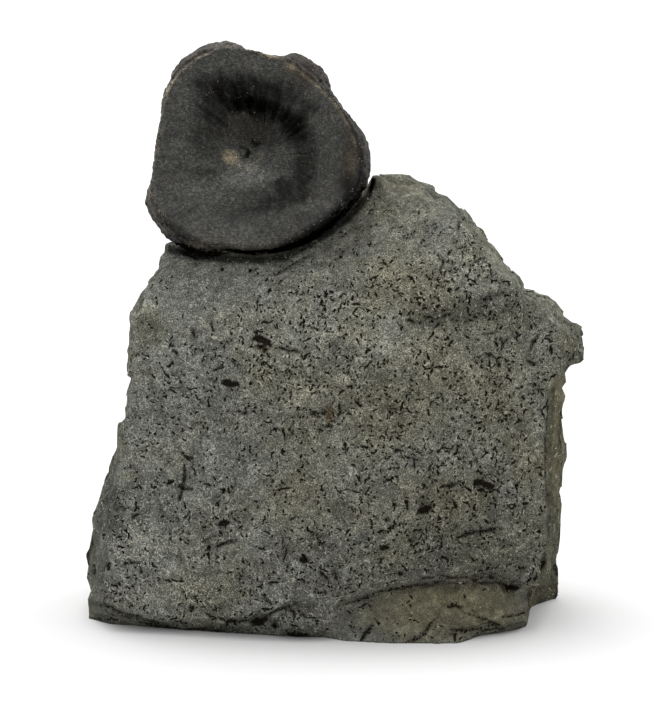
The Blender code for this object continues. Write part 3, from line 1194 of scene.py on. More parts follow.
@dataclass(frozen=True)
class BoneFinish:
    """Black-brown fossil bone with a faint dull gloss.

    Attributes:
        bone: colour of the worn face.
        hollow: colour of the blackest marks: the pits in the bowl's middle, and the painted shadow lines in
            the grooves and the crevice under the rim.
        brown: colour of the granular rim.
        cream_and_highlight: colour of the pale spot in the bowl, and of the painted highlights along the top
            and left of the rim.
        grain: colour of the pale grains on the rim.
        fine: the mottling.
        fine_contrast: spread of its brightness.
        grit: the grains.
        grit_contrast: spread of their brightness.
        rim_contrast: how much stronger both are on the rim.
        spokes: the streaks that run out from the middle.
        spoke_contrast: spread of their brightness, against the blackness of the bowl.
        scratches: the short level scratches.
        scratch_squeeze: what the coordinates are multiplied by, which stretches them.
        scratch_contrast: spread of their brightness.
        grain_cell: size in mm of the area that holds one pale grain at most.
        grain_share: share of the areas that have a grain, against the rim.
        grain_edge: strength of a grain against the distance from its middle, in areas.
        grain_strength: strength of a grain in its middle.
        edge_grit: how far the grains eat into the edge of a dark mark.
        edge: the edge of a dark mark.
        relief_shares: shares of the mottling and the grains in the fine relief.
        relief: height of the fine relief in mm.
        relief_strength: share of its effect.
        roughness: of the worn face.
        gloss: strength of its reflections, against the blackness of the bowl.
    """

    bone: Colour = from_screen(59, 59, 56)
    hollow: Colour = from_screen(5, 5, 5)
    brown: Colour = from_screen(54, 47, 38)
    cream_and_highlight: Colour = from_screen(150, 139, 114)
    grain: Colour = from_screen(140, 136, 122)
    fine: NoiseLayer = NoiseLayer(1.0, 2.0, 0.65)
    fine_contrast: float = 1.8
    grit: NoiseLayer = NoiseLayer(0.28, 1.0, 0.6)
    grit_contrast: float = 2.4
    rim_contrast: Ramp = Ramp(0.0, 1.0, 1.0, 2.2)
    spokes: NoiseLayer = NoiseLayer(1.0, 2.0, 0.65)
    spoke_contrast: Ramp = Ramp(0.0, 0.5, 1.2, 4.0)
    scratches: NoiseLayer = NoiseLayer(0.32, 2.0, 0.7)
    scratch_squeeze: Triple = (0.36, 0.7, 1.0)
    scratch_contrast: float = 3.2
    grain_cell: float = 0.6
    grain_share: Ramp = Ramp(0.0, 1.0, 0.03, 0.42)
    grain_edge: Ramp = Ramp(0.16, 0.36, 1.0, 0.0)
    grain_strength: float = 0.5
    edge_grit: float = 0.9
    edge: Ramp = Ramp(0.42, 0.58, 0.0, 0.9)
    relief_shares: Pair = (0.5, 0.5)
    relief: float = 0.35
    relief_strength: float = 0.9
    roughness: float = 0.5
    gloss: Ramp = Ramp(0.0, 0.6, 0.12, 0.0)

    def build(self) -> bpy.types.Material:
        """Make the material.

        Returns:
            The material; it reads polar, hollow, dark, rim, brown, cream and shade at the vertices.
        """
        sheet = MaterialSheet(BONE_SLOT)
        place, rim, hollow = sheet.place(), sheet.stored("rim"), sheet.stored("hollow")
        fine, grit = sheet.noise(place, self.fine), sheet.noise(place, self.grit)
        spokes = sheet.noise(sheet.stored("polar", "Vector"), self.spokes)
        scratches = sheet.noise(sheet.vector("MULTIPLY", place, self.scratch_squeeze), self.scratches)
        more = sheet.spread(rim, self.rim_contrast)
        # The stored shade holds painted light and shade, with a painted highlight on the lower bowl; the
        # contrasts are the bone's own mottling, grains, streaks and scratches.
        light = sheet.times(
            sheet.stored("shade"),
            sheet.contrast(grit, sheet.times(more, self.grit_contrast)),
            sheet.contrast(fine, sheet.times(more, self.fine_contrast)),
            sheet.contrast(spokes, sheet.spread(hollow, self.spoke_contrast)),
            sheet.contrast(scratches, self.scratch_contrast),
        )
        colour = sheet.mix(sheet.stored("brown"), self.bone, self.brown)
        colour = sheet.mix(sheet.stored("cream_and_highlight"), colour, self.cream_and_highlight)
        colour = sheet.scaled(colour, light)
        colour = sheet.mix(self._grains(sheet, place, rim), colour, self.grain)
        edge = sheet.math("ADD", sheet.stored("dark"), sheet.centred(grit, self.edge_grit))
        # The blackest marks: pits, and painted shadow lines in the grooves and in the crevice under the rim.
        colour = sheet.mix(sheet.spread(edge, self.edge), colour, self.hollow)
        sheet.surface(colour, self.roughness, sheet.spread(hollow, self.gloss))
        fine_share, grit_share = self.relief_shares
        height = sheet.math("ADD", sheet.times(fine, fine_share), sheet.times(grit, grit_share))
        sheet.bend(height, self.relief, self.relief_strength)
        return sheet.material

    def _grains(self, sheet: MaterialSheet, place: Socket, rim: Socket) -> Socket:
        """Scatter the pale grains, which lie thickly on the rim only.

        Args:
            sheet: the material's nodes.
            place: coordinates in mm.
            rim: 1 on the rim, 0 off it.

        Returns:
            Their strength.
        """
        seeds = sheet.cells(place, self.grain_cell)
        chance, _, _ = sheet.channels(seeds.outputs["Color"])
        chosen = sheet.math("LESS_THAN", chance, sheet.spread(rim, self.grain_share))
        strength = sheet.spread(seeds.outputs["Distance"], self.grain_edge)
        return sheet.times(strength, chosen, self.grain_strength)


# ---- the block ----
# The strokes are drawn on flat coordinates: those of the sides and the top are shifted, so that they differ
# from the front's, and a slanting face counts as front sooner than as side or top.
LAY_PREFERENCE = (1.0, 1.35, 1.0)
LAY_SIDE_SHIFT = 400.0
LAY_TOP_SHIFT = 800.0


@dataclass(frozen=True)
class Cover:
    """How strongly a trait of the rock, or its painted light and shade, shows.

    Attributes:
        hidden: its level on the unseen sides.
        seen: its level on the visible side.
        areas: where it is stronger or weaker on the visible side.
        most: the level that it never passes.
    """

    hidden: float
    seen: float
    areas: tuple[Area, ...]
    most: float = 1.6

    def at(self, picture: np.ndarray, seen: np.ndarray) -> np.ndarray:
        """Return the level at picture points, given how fully they are on the visible side."""
        shown = self.seen + areas_at(picture, self.areas)
        return np.clip(self.hidden + (shown - self.hidden) * seen, 0.0, self.most)


@dataclass
class MatrixBlock:
    """The mudstone block with its relief.

    Attributes:
        voxel: size of its faces before they are thinned out.
        smoothing: passes that take the facets off.
        front_smoothing: further passes on the front.
        front_turn: how far normals turn to the viewer where those passes start, and where they are full.
        front_foot: heights in mm between which those passes grow to full.
        kept_turn: how far normals turn to the viewer where no triangle is taken away.
        triangles: number of triangles that it ends with.
        front_lumps: relief of the smoother front.
        broken_lumps: relief of the broken sides and back.
        chips: flat chips on the broken faces.
        relief_turn: how far normals turn forwards between the broken relief and the smoother front.
        bone_surround: the area around the bone, where the relief is calmer.
        bone_calm: share of the front's and the broken relief that is taken away there.
        right_edge: picture columns between which the broken relief becomes calmer at the right.
        right_edge_top: picture row below which it does.
        right_edge_calm: share of the relief that is taken away there.
        bed_spacing: distance between the ledges of the bedding on the broken faces.
        bed_drop: depth of those ledges.
        bed_edge: share of the spacing over which a ledge drops.
        bed_normal: direction across the beds.
        bed_waves: slow and short waves of the beds.
        pits: small pits.
        pit_front: share of their depth on the smooth front.
        mark_depth: depth of the pressed-in fragments.
        mark_edge: how far inside a fragment its depth starts, and is full.
        bevel_turn: how far normals turn to the viewer where the bevels start, and where they are full.
        foot: height in mm below which the relief fades out towards the base.
        base: height in mm below which points are held on the base.
        cracks: grooves on the visible side.
        steps: ledges on the visible side.
        bevels: facets that slope away from the viewer.
        shifts: corrections of the outline.
        worn: rounded parts of the outline.
        hollows: shallow hollows (and, if negative, swellings) in mm.
        tints: changes between the two rock colours.
        tint_strength: their strength.
        mottle: mottling.
        mottle_strengths: its strengths in the brightness and in the pale fibres.
        bump_shading: painted light and shade on the front's relief, from the same lumps: darker in their
            hollows, lighter on their tops.
        bump_shading_strength: their strength.
        clusters: clusters of dark strokes.
        cluster_start: what they start from.
        cluster_strength: their strength.
        fragment_waver: waves in the fragments' edges, with their height in picture points.
    """

    voxel: float = 0.48
    quick_voxel: float = 0.9
    smoothing: int = 6
    front_smoothing: int = 40
    front_turn: Pair = (0.55, 0.9)
    front_foot: Pair = (2.0, 8.0)
    kept_turn: float = 0.42
    triangles: int = 194000
    front_lumps: LumpNoise = LumpNoise(5, ((15.0, 0.45), (6.5, 0.42), (3.0, 0.36), (1.6, 0.26), (1.0, 0.16)))
    broken_lumps: LumpNoise = LumpNoise(9, ((9.0, 0.5), (3.5, 0.35), (1.6, 0.22), (0.9, 0.12)))
    chips: LumpNoise = LumpNoise(41, ((15.0, 1.5), (6.0, 0.55)))
    relief_turn: Pair = (0.15, 0.6)
    bone_surround: Patch = Patch((262, 225), (150, 75), 1.0)
    bone_calm: Pair = (0.5, 0.6)
    right_edge: Pair = (535.0, 550.0)
    right_edge_top: float = 360.0
    right_edge_calm: float = 0.5
    bed_spacing: float = 5.2
    bed_drop: float = 0.7
    bed_edge: float = 0.12
    bed_normal: Triple = (0.1, 0.96, 0.28)
    bed_waves: tuple[LumpNoise, ...] = (LumpNoise(63, ((22.0, 5.0),)), LumpNoise(64, ((7.0, 1.2),)))
    pits: Pits = Pits(LumpNoise(77, ((1.3, 1.0),)), 0.42, 1.6)
    pit_front: float = 0.6
    mark_depth: float = 0.45
    mark_edge: Pair = (0.35, 0.8)
    bevel_turn: Pair = (-0.1, 0.3)
    foot: float = 1.2
    base: float = 0.3
    cracks: tuple[Crack, ...] = (
        # the double line of the ledge
        Crack(((335, 607), (352, 602), (368, 597), (387, 590), (402, 588), (419, 585), (432, 584),
               (446, 580)), 0.8, 0.8),
        Crack(((420, 579), (432, 577), (441, 575), (452, 578), (472, 577), (493, 577), (506, 581)),
              0.8, 1.0, 0.4),
        Crack(((470, 580), (483, 583), (497, 582), (508, 586)), 0.7, 0.7, 0.5),
        Crack(((503, 586), (508, 588), (515, 587), (520, 584)), 1.9, 2.2),
        # cracks at the foot
        Crack(((205, 614), (215, 618), (224, 620), (232, 621), (249, 621)), 0.8, 1.0, 0.75),
        Crack(((226, 622), (231, 622), (237, 622)), 1.2, 1.2, 1.2),
        Crack(((252, 621), (257, 622), (262, 621), (266, 618)), 2.6, 2.4),
        Crack(((266, 617), (272, 613), (281, 609), (288, 606), (297, 603)), 0.9, 1.1, 0.55),
        Crack(((285, 608), (291, 610), (298, 614), (306, 617), (323, 619)), 0.8, 0.8, 0.65),
        Crack(((293, 612), (294, 620)), 0.7, 0.6),
        Crack(((273, 626), (277, 626)), 2.0, 1.6),
        Crack(((284, 634), (292, 636), (300, 637), (309, 638)), 2.2, 1.8),
        Crack(((186, 630), (200, 629), (216, 631), (236, 632)), 0.8, 0.8, 0.6),
        Crack(((98, 604), (112, 608), (125, 616), (136, 619), (150, 624), (165, 627), (182, 630)),
              0.9, 0.7),
        Crack(((92, 619), (106, 619), (124, 620)), 0.9, 0.7),
        # the scar
        Crack(((448, 606), (455, 606)), 0.8, 0.6),
        Crack(((456, 604), (463, 608)), 1.0, 0.8),
        Crack(((405, 643), (418, 639), (424, 633), (428, 628), (431, 623)), 0.8, 1.0, 0.5),
        Crack(((450, 629), (458, 631), (470, 630), (482, 628), (492, 625), (500, 625)), 0.9, 0.9, 0.5),
        Crack(((490, 625), (497, 626)), 1.6, 1.2),
        Crack(((503, 617), (514, 616), (524, 613)), 0.8, 0.5, 0.4),
        Crack(((468, 607), (476, 614), (482, 621)), 0.7, 0.4),
        # cracks and pits of the face
        Crack(((185, 468), (184, 478), (183, 488)), 0.7, 0.7),
        Crack(((179, 500), (183, 488), (192, 490)), 0.7, 0.7),
        Crack(((216, 547), (224, 544), (230, 542), (236, 541)), 0.8, 0.6),
        Crack(((302, 553), (308, 563)), 0.9, 0.7),
        Crack(((264, 595), (268, 601), (273, 606)), 0.7, 0.5),
        Crack(((191, 607), (193, 609)), 1.6, 1.3),
        Crack(((108, 562), (109, 571)), 0.9, 0.9),
        Crack(FACE_SCRATCH, 0.8, 0.6),
        Crack(UPPER_CRACK, 0.8, 0.5),
        Crack(((437, 255), (441, 262), (440, 270)), 0.7, 0.5),
        Crack(((458, 230), (459, 222), (466, 218)), 0.7, 0.5),
        Crack(NOSE_CRACK, 0.8, 0.6),
        Crack(LOW_CRACK, 0.7, 0.5),
    )
    steps: tuple[Step, ...] = (
        Step(((462, 640), (478, 622), (500, 604)), 0.3, 5.0, 0.4),
        Step(((428, 645), (434, 628), (444, 610)), 0.3, 4.0, 0.4),
        Step(((395, 645), (399, 625), (406, 604)), 0.3, 4.0, 0.4),
        Step(((500, 634), (511, 620), (524, 611)), 0.3, 4.0, 0.4),
        Step(((364, 640), (372, 622), (382, 604)), 0.25, 4.0, 0.4),
        Step(((395, 324), (420, 321), (445, 317), (472, 314), (505, 310)), 0.8, 6.0, 1.4),
        Step(((134, 320), (142, 317), (155, 321), (168, 330)), 0.8, 7.0, 0.6),
        Step(((136, 299), (146, 296), (158, 298)), 0.6, 4.0, 0.6),
        Step(((330, 238), (352, 222), (372, 208), (392, 200)), 0.5, 3.0, 0.7),
        Step(((480, 300), (492, 292), (508, 288)), 0.7, 4.0, 0.7),
    )
    bevels: tuple[Bevel, ...] = (
        Bevel(((124, 425), (116, 462), (110, 500), (107, 540), (105, 580), (101, 606)), 0.4, 0.5, 5.0),
        Bevel(((80, 598), (97, 602), (112, 605), (124, 612), (136, 615), (150, 620), (165, 625),
               (188, 630)), 0.9, 0.35, 4.0),
        Bevel(((538, 576), (545, 545), (547, 500), (543, 455), (547, 430), (548, 392), (557, 376)),
              0.8, 0.45, 3.0),
        Bevel(((566, 372), (566, 350), (568, 324)), 0.3, 0.6, 4.0),
        Bevel(((184, 631), (236, 633), (290, 635), (310, 638), (348, 642)), 0.9, 0.6, 3.0),
        Bevel(((514, 284), (498, 274), (488, 256), (477, 234)), 0.2, 0.35, 6.0),
        Bevel(((529, 634), (528, 610), (527, 586)), 1.2, 0.2, 3.0),
    )
    worn: tuple[Area, ...] = (
        Patch((412, 188), (70, 26), 1.0, turn=28.0),
        Patch((148, 275), (20, 40), 0.8, turn=20.0),
        Patch((120, 375), (14, 26), 0.8),
    )
    shifts: tuple[Shift, ...] = (
        Shift(Patch((580, 374), (16, 10), 1.0), (-2.6, 1.2)),
        Shift(Patch((572, 388), (12, 9), 1.0), (-1.4, 0.4)),
        Shift(Patch((528, 284), (9, 7), 1.0), (-0.7, -0.7)),
        Shift(Patch((476, 221), (8, 7), 1.0), (-0.7, -0.6)),
        Shift(Patch((426, 181), (14, 7), 1.0), (0.0, -0.9)),
        Shift(Patch((377, 182), (9, 10), 1.0), (-0.5, 1.7)),
        Shift(Patch((440, 190), (10, 8), 1.0), (-0.8, -1.0)),
        Shift(Patch((548, 304), (30, 11), 1.0), (0.5, 1.0)),
        Shift(Patch((580, 322), (9, 14), 1.0), (0.2, 1.2)),
        Shift(Patch((90, 540), (9, 16), 1.0), (1.0, 0.0)),
    )
    hollows: tuple[Patch, ...] = (
        Patch((230, 384), (9, 7), 0.5),
        Patch((262, 343), (9, 10), 0.5),
        Patch((331, 416), (7, 14), 0.4),
        Patch((483, 485), (10, 9), 0.6),
        Patch((425, 510), (9, 8), 0.5),
        Patch((385, 547), (6, 4), 0.6),
        Patch((492, 290), (16, 14), 0.7),
        Patch((542, 566), (4, 8), 0.7),
        Patch((284, 343), (4, 5), -0.5),
        Patch((151, 334), (16, 14), 0.4),
    )
    tints: LumpNoise = LumpNoise(131, ((17.0, 0.55), (8.0, 0.35), (4.0, 0.2)))
    tint_strength: float = 0.6
    mottle: LumpNoise = LumpNoise(137, ((6.0, 0.45), (3.0, 0.5), (1.5, 0.6)))
    mottle_strengths: Pair = (0.55, 0.35)
    bump_shading: LumpNoise = LumpNoise(5, ((15.0, 0.0), (6.5, 0.12), (3.0, 0.36), (1.6, 0.3), (1.0, 0.25)))
    bump_shading_strength: float = 0.45
    clusters: LumpNoise = LumpNoise(141, ((9.0, 0.6), (4.0, 0.6), (2.0, 0.5)))
    cluster_start: float = -0.05
    cluster_strength: float = 1.15
    fragment_waver: LumpNoise = LumpNoise(143, ((1.5, 2.0),))

    def build(self) -> bpy.types.Object:
        """Make the block from its CAD node, carve it and dress it.

        Returns:
            The piece.
        """
        voxel = self.voxel
        piece = dense_copy(BLOCK_NODE, "mudstone_block", voxel, self.smoothing)
        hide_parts(BLOCK_NODE)
        ease(piece, self._front_weights(piece.data), self.front_smoothing)
        self._carve(piece)
        kept = VIEW.turned(normals_of(piece.data)) > self.kept_turn
        thin_out(piece, self.triangles, kept)
        hold_inside(piece, BLOCK_NODE)
        self._record_finish(piece)
        piece.data.materials.clear()
        piece.data.materials.append(MudstoneFinish().build())
        LOG.info("%s: %d triangles", piece.name, len(piece.data.polygons))
        return piece

    def _front_weights(self, mesh: bpy.types.Mesh) -> np.ndarray:
        """Choose where the further smoothing works: on the front above its foot, and on the worn parts.

        Args:
            mesh: the block's mesh.

        Returns:
            Its weight at every vertex.
        """
        points = points_of(mesh)
        facing = smoothstep(*self.front_turn, VIEW.turned(normals_of(mesh)))
        worn = areas_joined(VIEW.project(points), self.worn)
        return np.maximum(facing * smoothstep(*self.front_foot, points[:, 2]), worn)

    def _carve(self, piece: bpy.types.Object) -> None:
        """Press the relief into the piece, inside the CAD node's box and with its flat base.

        Args:
            piece: the block.
        """
        mesh = piece.data
        points, normals = points_of(mesh), normals_of(mesh)
        picture, seen = VIEW.project(points), VIEW.seen(normals)
        push = self._broad_relief(points, normals)
        for groove in (*self.cracks, *self.steps):
            push -= seen * groove.depth_at(picture)
        push -= seen * areas_at(picture, self.hollows)
        broken = 1.0 - smoothstep(*self.relief_turn, -normals[:, 1])
        push -= self.pits.depth_at(points) * (self.pit_front + (1.0 - self.pit_front) * broken)
        push -= seen * self.mark_depth * smoothstep(*self.mark_edge, deepest_mark(picture, BLOCK_MARKS))
        away = sum(bevel.depth_at(picture) for bevel in self.bevels)
        away = away * smoothstep(*self.bevel_turn, VIEW.turned(normals))
        held = smoothstep(0.0, self.foot, points[:, 2])
        moved = points + normals * (push * held)[:, None] + away[:, None] * VIEW.forward()
        for shift in self.shifts:
            moved += shift.offsets(picture) * held[:, None]
        low, high = (np.array(corner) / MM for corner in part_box(BLOCK_NODE))
        moved = np.clip(moved, low, high)
        moved[points[:, 2] < self.base, 2] = 0.0
        move_points(mesh, moved)

    def _broad_relief(self, points: np.ndarray, normals: np.ndarray) -> np.ndarray:
        """Find the relief of the smooth front's lumps and of the broken faces' chips and beds.

        Args:
            points: places in mm, three columns.
            normals: surface normals there.

        Returns:
            The height in mm at every place.
        """
        picture = VIEW.project(points)
        front = smoothstep(*self.relief_turn, -normals[:, 1])
        near_bone = self.bone_surround.at(picture) * VIEW.seen(normals)
        front_calm, broken_calm = self.bone_calm
        height = front * (1.0 - front_calm * near_bone) * self.front_lumps.heights(points)
        rough = self.broken_lumps.heights(points)
        for index, (size, chip_height) in enumerate(self.chips.layers):
            rough += chip_height * LumpNoise(self.chips.seed + index).facets(points, size)
        right_edge = smoothstep(*self.right_edge, picture[:, 0]) * (picture[:, 1] > self.right_edge_top)
        rough = (1.0 - front) * (rough - self._beds(points)) * (1.0 - broken_calm * near_bone)
        return height + rough * (1.0 - self.right_edge_calm * right_edge)

    def _beds(self, points: np.ndarray) -> np.ndarray:
        """Find the bedding's ledges: each one starts sharply and comes back out slowly.

        Args:
            points: places in mm, three columns.

        Returns:
            The depth in mm at every place.
        """
        across = points @ np.array(self.bed_normal) + sum(wave.heights(points) for wave in self.bed_waves)
        share = np.mod(across / self.bed_spacing, 1.0)
        back = 1.0 - (share - self.bed_edge) / (1.0 - self.bed_edge)
        return self.bed_drop * np.where(share < self.bed_edge, share / self.bed_edge, back)

    def _record_finish(self, piece: bpy.types.Object) -> None:
        """Store what the material needs at every vertex.

        Args:
            piece: the piece.
        """
        mesh = piece.data
        points, normals = points_of(mesh), normals_of(mesh)
        picture, seen = VIEW.project(points), VIEW.seen(normals)
        mottle = self.mottle.heights(points)
        mottle_shade, mottle_pale = self.mottle_strengths
        clusters = self.cluster_start + self.cluster_strength * self.clusters.heights(points)
        # Real mottling, and painted light and shade on the front's relief: darker in its hollows, lighter on
        # its lumps.
        shade = np.exp(mottle_shade * mottle + self.bump_shading_strength * self.bump_shading.heights(points))
        warmth = ROCK_WARMTH.at(picture, seen) + self.tint_strength * self.tints.heights(points)
        waver = self.fragment_waver.heights(points)
        ragged = picture + np.stack([waver, -waver], axis=1)
        add_values(mesh, "lay", self._lay(points, normals))
        speckle = ROCK_SPECKLE.at(picture, seen) + clusters
        add_values(mesh, "speckle", np.clip(speckle, 0.0, ROCK_SPECKLE.most))
        add_values(mesh, "pale", ROCK_PALE.at(picture, seen) + mottle_pale * mottle)
        add_values(mesh, "warmth", warmth)
        # The stored shade is painted light and shade, with the rock's own mottling in it.
        add_values(mesh, "shade", ROCK_SHADE.at(picture, seen) * shade)
        add_values(mesh, "vigour", ROCK_VIGOUR.at(picture, seen))
        add_values(mesh, "rust", np.clip(seen * areas_at(picture, ROCK_RUST), 0.0, 1.0))
        # Dark fragments, and painted shadow lines in the cracks, in the pits and along the edges of the
        # faces.
        marks = BLOCK_MARKS + CRACK_SHADOW_LINES + shadow_lines_of(self.cracks)
        add_values(mesh, "dark", seen * deepest_mark(ragged, marks))

    @staticmethod
    def _lay(points: np.ndarray, normals: np.ndarray) -> np.ndarray:
        """Find flat coordinates on the surface, along the two axes that it faces least.

        Args:
            points: places in mm, three columns.
            normals: surface normals there.

        Returns:
            Three columns, of which the last is 0.
        """
        axis = np.argmax(np.abs(normals) * np.array(LAY_PREFERENCE), axis=1)
        first = np.where(axis == 0, points[:, 1] + LAY_SIDE_SHIFT, points[:, 0])
        second = np.where(axis == 2, points[:, 1] + LAY_TOP_SHIFT, points[:, 2])
        return np.stack([first, second, np.zeros(len(points))], axis=1)


ROCK_SPECKLE = Cover(0.5, 0.5, (
    Zone(RIGHT_SHOULDER, -0.7),
    Zone(LEFT_FLANK, -0.5),
    Zone(LEFT_CORNER, -0.9, 0.4),
    Zone(SCAR, -0.35, 1.0),
    Zone(RIGHT_FACE, -0.6),
    Patch((420, 192), (70, 22), -0.4, turn=-25.0),
    Patch((430, 285), (120, 45), 0.45, turn=10.0),
    Patch((300, 345), (70, 60), 0.35),
    Patch((440, 440), (120, 120), 0.15),
    Patch((300, 265), (140, 30), -0.25),
    Patch((200, 290), (60, 40), -0.45),
    Patch((170, 420), (60, 60), -0.2),
    Zone(((131, 318), (148, 300), (176, 322), (166, 352), (133, 352)), -0.8),
    Patch((150, 560), (60, 60), -0.15),
    Patch((440, 610), (100, 24), -0.45),
    Patch((420, 210), (50, 30), -0.15),
))
ROCK_PALE = Cover(0.3, 0.26, (
    Patch((293, 577), (7, 6), 1.2),
    Patch((285, 356), (7, 5), 1.0),
    Zone(SCAR, -0.55, 1.0),
    Zone(LEFT_CORNER, -0.5, 0.4),
    Patch((400, 230), (90, 30), -0.1),
    Patch((138, 545), (34, 30), 1.1),
    Patch((196, 592), (28, 18), 1.0),
    Patch((140, 590), (30, 22), 0.6),
    Patch((200, 510), (30, 18), 0.5),
    Patch((475, 498), (14, 10), 0.5),
    Patch((410, 565), (60, 16), 0.25),
    Patch((300, 320), (60, 30), 0.2),
    Patch((370, 300), (60, 30), 0.2),
))
ROCK_WARMTH = Cover(0.3, 0.2, (
    Patch((150, 430), (90, 190), -0.5),
    Patch((430, 450), (170, 170), 0.2),
    Zone(((527, 590), (538, 575), (546, 545), (549, 500), (549, 388), (557, 376), (570, 376), (570, 612),
          (529, 616)), 0.6, 0.6),
    Patch((440, 612), (100, 28), 0.6),
    Patch((150, 330), (22, 30), 0.5),
    Patch((400, 182), (30, 12), 0.4),
    Patch((402, 282), (56, 36), 0.5),
    Patch((455, 590), (60, 16), 0.4),
    Patch((573, 345), (18, 24), 0.4),
))
# Painted light and shade, with some of the rock's own tone: darker on the left and right sides, on facets
# that face down, towards the foot, along the scar's ledge and in the crevice under the bone; lighter on the
# faces that turn up to the light.
ROCK_SHADE = Cover(0.9, 1.0, (
    Patch((330, 250), (120, 40), 0.08, turn=10.0),
    Patch((470, 545), (110, 50), -0.16),
    Patch((290, 590), (130, 26), -0.12),
    Patch((345, 330), (110, 40), 0.06),
    Zone(((124, 425), (116, 462), (111, 500), (109, 540), (106, 580), (101, 606), (80, 606), (80, 540),
          (100, 470)), -0.24, 0.5),
    Zone(LEFT_CORNER, -0.22, 0.4),
    Zone(((527, 590), (538, 575), (546, 545), (549, 515), (570, 515), (570, 612), (529, 616)), -0.14, 0.4),
    Zone(((180, 632), (236, 634), (290, 636), (340, 642), (345, 650), (180, 648)), -0.1, 0.5),
    Zone(RIGHT_FACE, -0.18, 0.5),
    Zone(((554, 385), (549, 392), (548, 430), (545, 455), (548, 500), (546, 545), (549, 545), (553, 500),
          (551, 455), (554, 430), (556, 395)), -0.2, 0.4),
    Zone(((566, 372), (567, 350), (568, 324), (590, 320), (590, 380)), -0.22, 0.4),
    Zone(RIGHT_SHOULDER, 0.14, 0.8),
    Zone(((395, 318), (440, 305), (505, 290), (520, 300), (500, 318), (440, 328), (400, 330)), -0.14, 2.0),
    Zone(SCAR, -0.1, 1.0),
    Stroke(((170, 250), (196, 256), (225, 259), (262, 260), (288, 256), (310, 244), (330, 232), (352, 214),
            (368, 196), (372, 180)), 1.7, -0.85),
    Stroke(((402, 592), (446, 583), (480, 583), (512, 590)), 0.8, -0.25),
    Patch((378, 190), (9, 20), -0.35),
    Patch((145, 560), (44, 44), 0.12),
    Patch((466, 312), (62, 24), -0.12, turn=8.0),
    Patch((455, 505), (60, 40), -0.08),
    Patch((440, 565), (110, 26), -0.08),
    Patch((360, 455), (50, 40), 0.04),
    Patch((300, 325), (60, 22), 0.05),
    Patch((470, 306), (60, 18), -0.14, turn=12.0),
    Patch((490, 470), (60, 90), -0.06),
    Patch((400, 560), (150, 30), -0.08),
    Patch((105, 500), (22, 90), -0.12),
    Patch((340, 275), (60, 30), 0.05),
    Patch((330, 364), (14, 12), -0.32),
    Patch((330, 346), (36, 10), -0.2),
    Patch((218, 390), (12, 9), 0.2),
    Patch((298, 394), (22, 16), 0.35),
    Patch((480, 372), (24, 16), 0.3),
    Patch((426, 478), (16, 14), -0.38),
    Patch((418, 500), (12, 12), -0.28),
    Patch((384, 404), (14, 12), -0.32),
    Patch((414, 388), (12, 10), -0.28),
    Patch((318, 542), (20, 14), -0.4),
    Patch((342, 508), (22, 20), -0.18),
    Patch((154, 510), (16, 18), -0.28),
    Patch((112, 510), (12, 40), -0.25),
    Patch((112, 586), (12, 14), -0.28),
    Patch((212, 631), (40, 7), -0.45),
    Patch((306, 608), (30, 9), -0.38),
    Patch((512, 318), (20, 14), -0.3),
    Patch((528, 298), (12, 10), -0.26),
    Patch((220, 344), (14, 12), -0.26),
    Patch((262, 322), (12, 10), -0.26),
    Patch((362, 298), (20, 12), -0.22),
    Patch((376, 344), (16, 10), 0.24),
    Patch((416, 214), (20, 12), 0.28),
    Patch((412, 632), (22, 7), 0.36),
    Patch((484, 631), (12, 7), 0.4),
    Patch((452, 586), (30, 6), -0.22),
    Patch((484, 608), (14, 8), -0.18),
    Stroke(((131, 320), (137, 315), (143, 309), (145, 300), (149, 294)), 0.7, 0.6),
    Stroke(((139, 290), (142, 299), (141, 307), (136, 313)), 0.6, -0.6),
    Zone(((131, 320), (144, 312), (172, 322), (164, 350), (133, 352)), -0.06, 1.0),
    Patch((205, 592), (26, 16), 0.08),
    Patch((310, 290), (110, 40), 0.05),
    Patch((430, 215), (60, 34), -0.08),
    Patch((575, 345), (20, 30), -0.12),
    Patch((122, 430), (26, 110), -0.08),
    Patch((152, 330), (20, 26), -0.08),
    Patch((540, 540), (20, 60), -0.1),
    Zone(((205, 618), (250, 626), (298, 608), (322, 620), (345, 642), (190, 636)), -0.12, 1.0),
))
ROCK_RUST = (
    Patch((296, 586), (4, 5), 0.45),
    Patch((330, 415), (5, 11), 0.85),
)
ROCK_VIGOUR = Cover(0.9, 1.0, (
    Zone(RIGHT_SHOULDER, -0.5),
    Zone(LEFT_FLANK, -0.35),
    Zone(RIGHT_FACE, -0.45),
    Patch((420, 195), (70, 24), -0.3, turn=-25.0),
    Zone(((335, 612), (375, 596), (402, 589), (445, 583), (505, 590), (530, 592), (530, 632), (462, 640),
          (430, 645), (335, 645)), -0.45, 1.5),
    Zone(((84, 600), (112, 609), (135, 618), (165, 629), (186, 633), (186, 645), (84, 640)), -0.5),
    Zone(((180, 630), (235, 633), (290, 636), (340, 642), (345, 650), (180, 648)), -0.5),
    Patch((262, 240), (150, 40), -0.15),
))
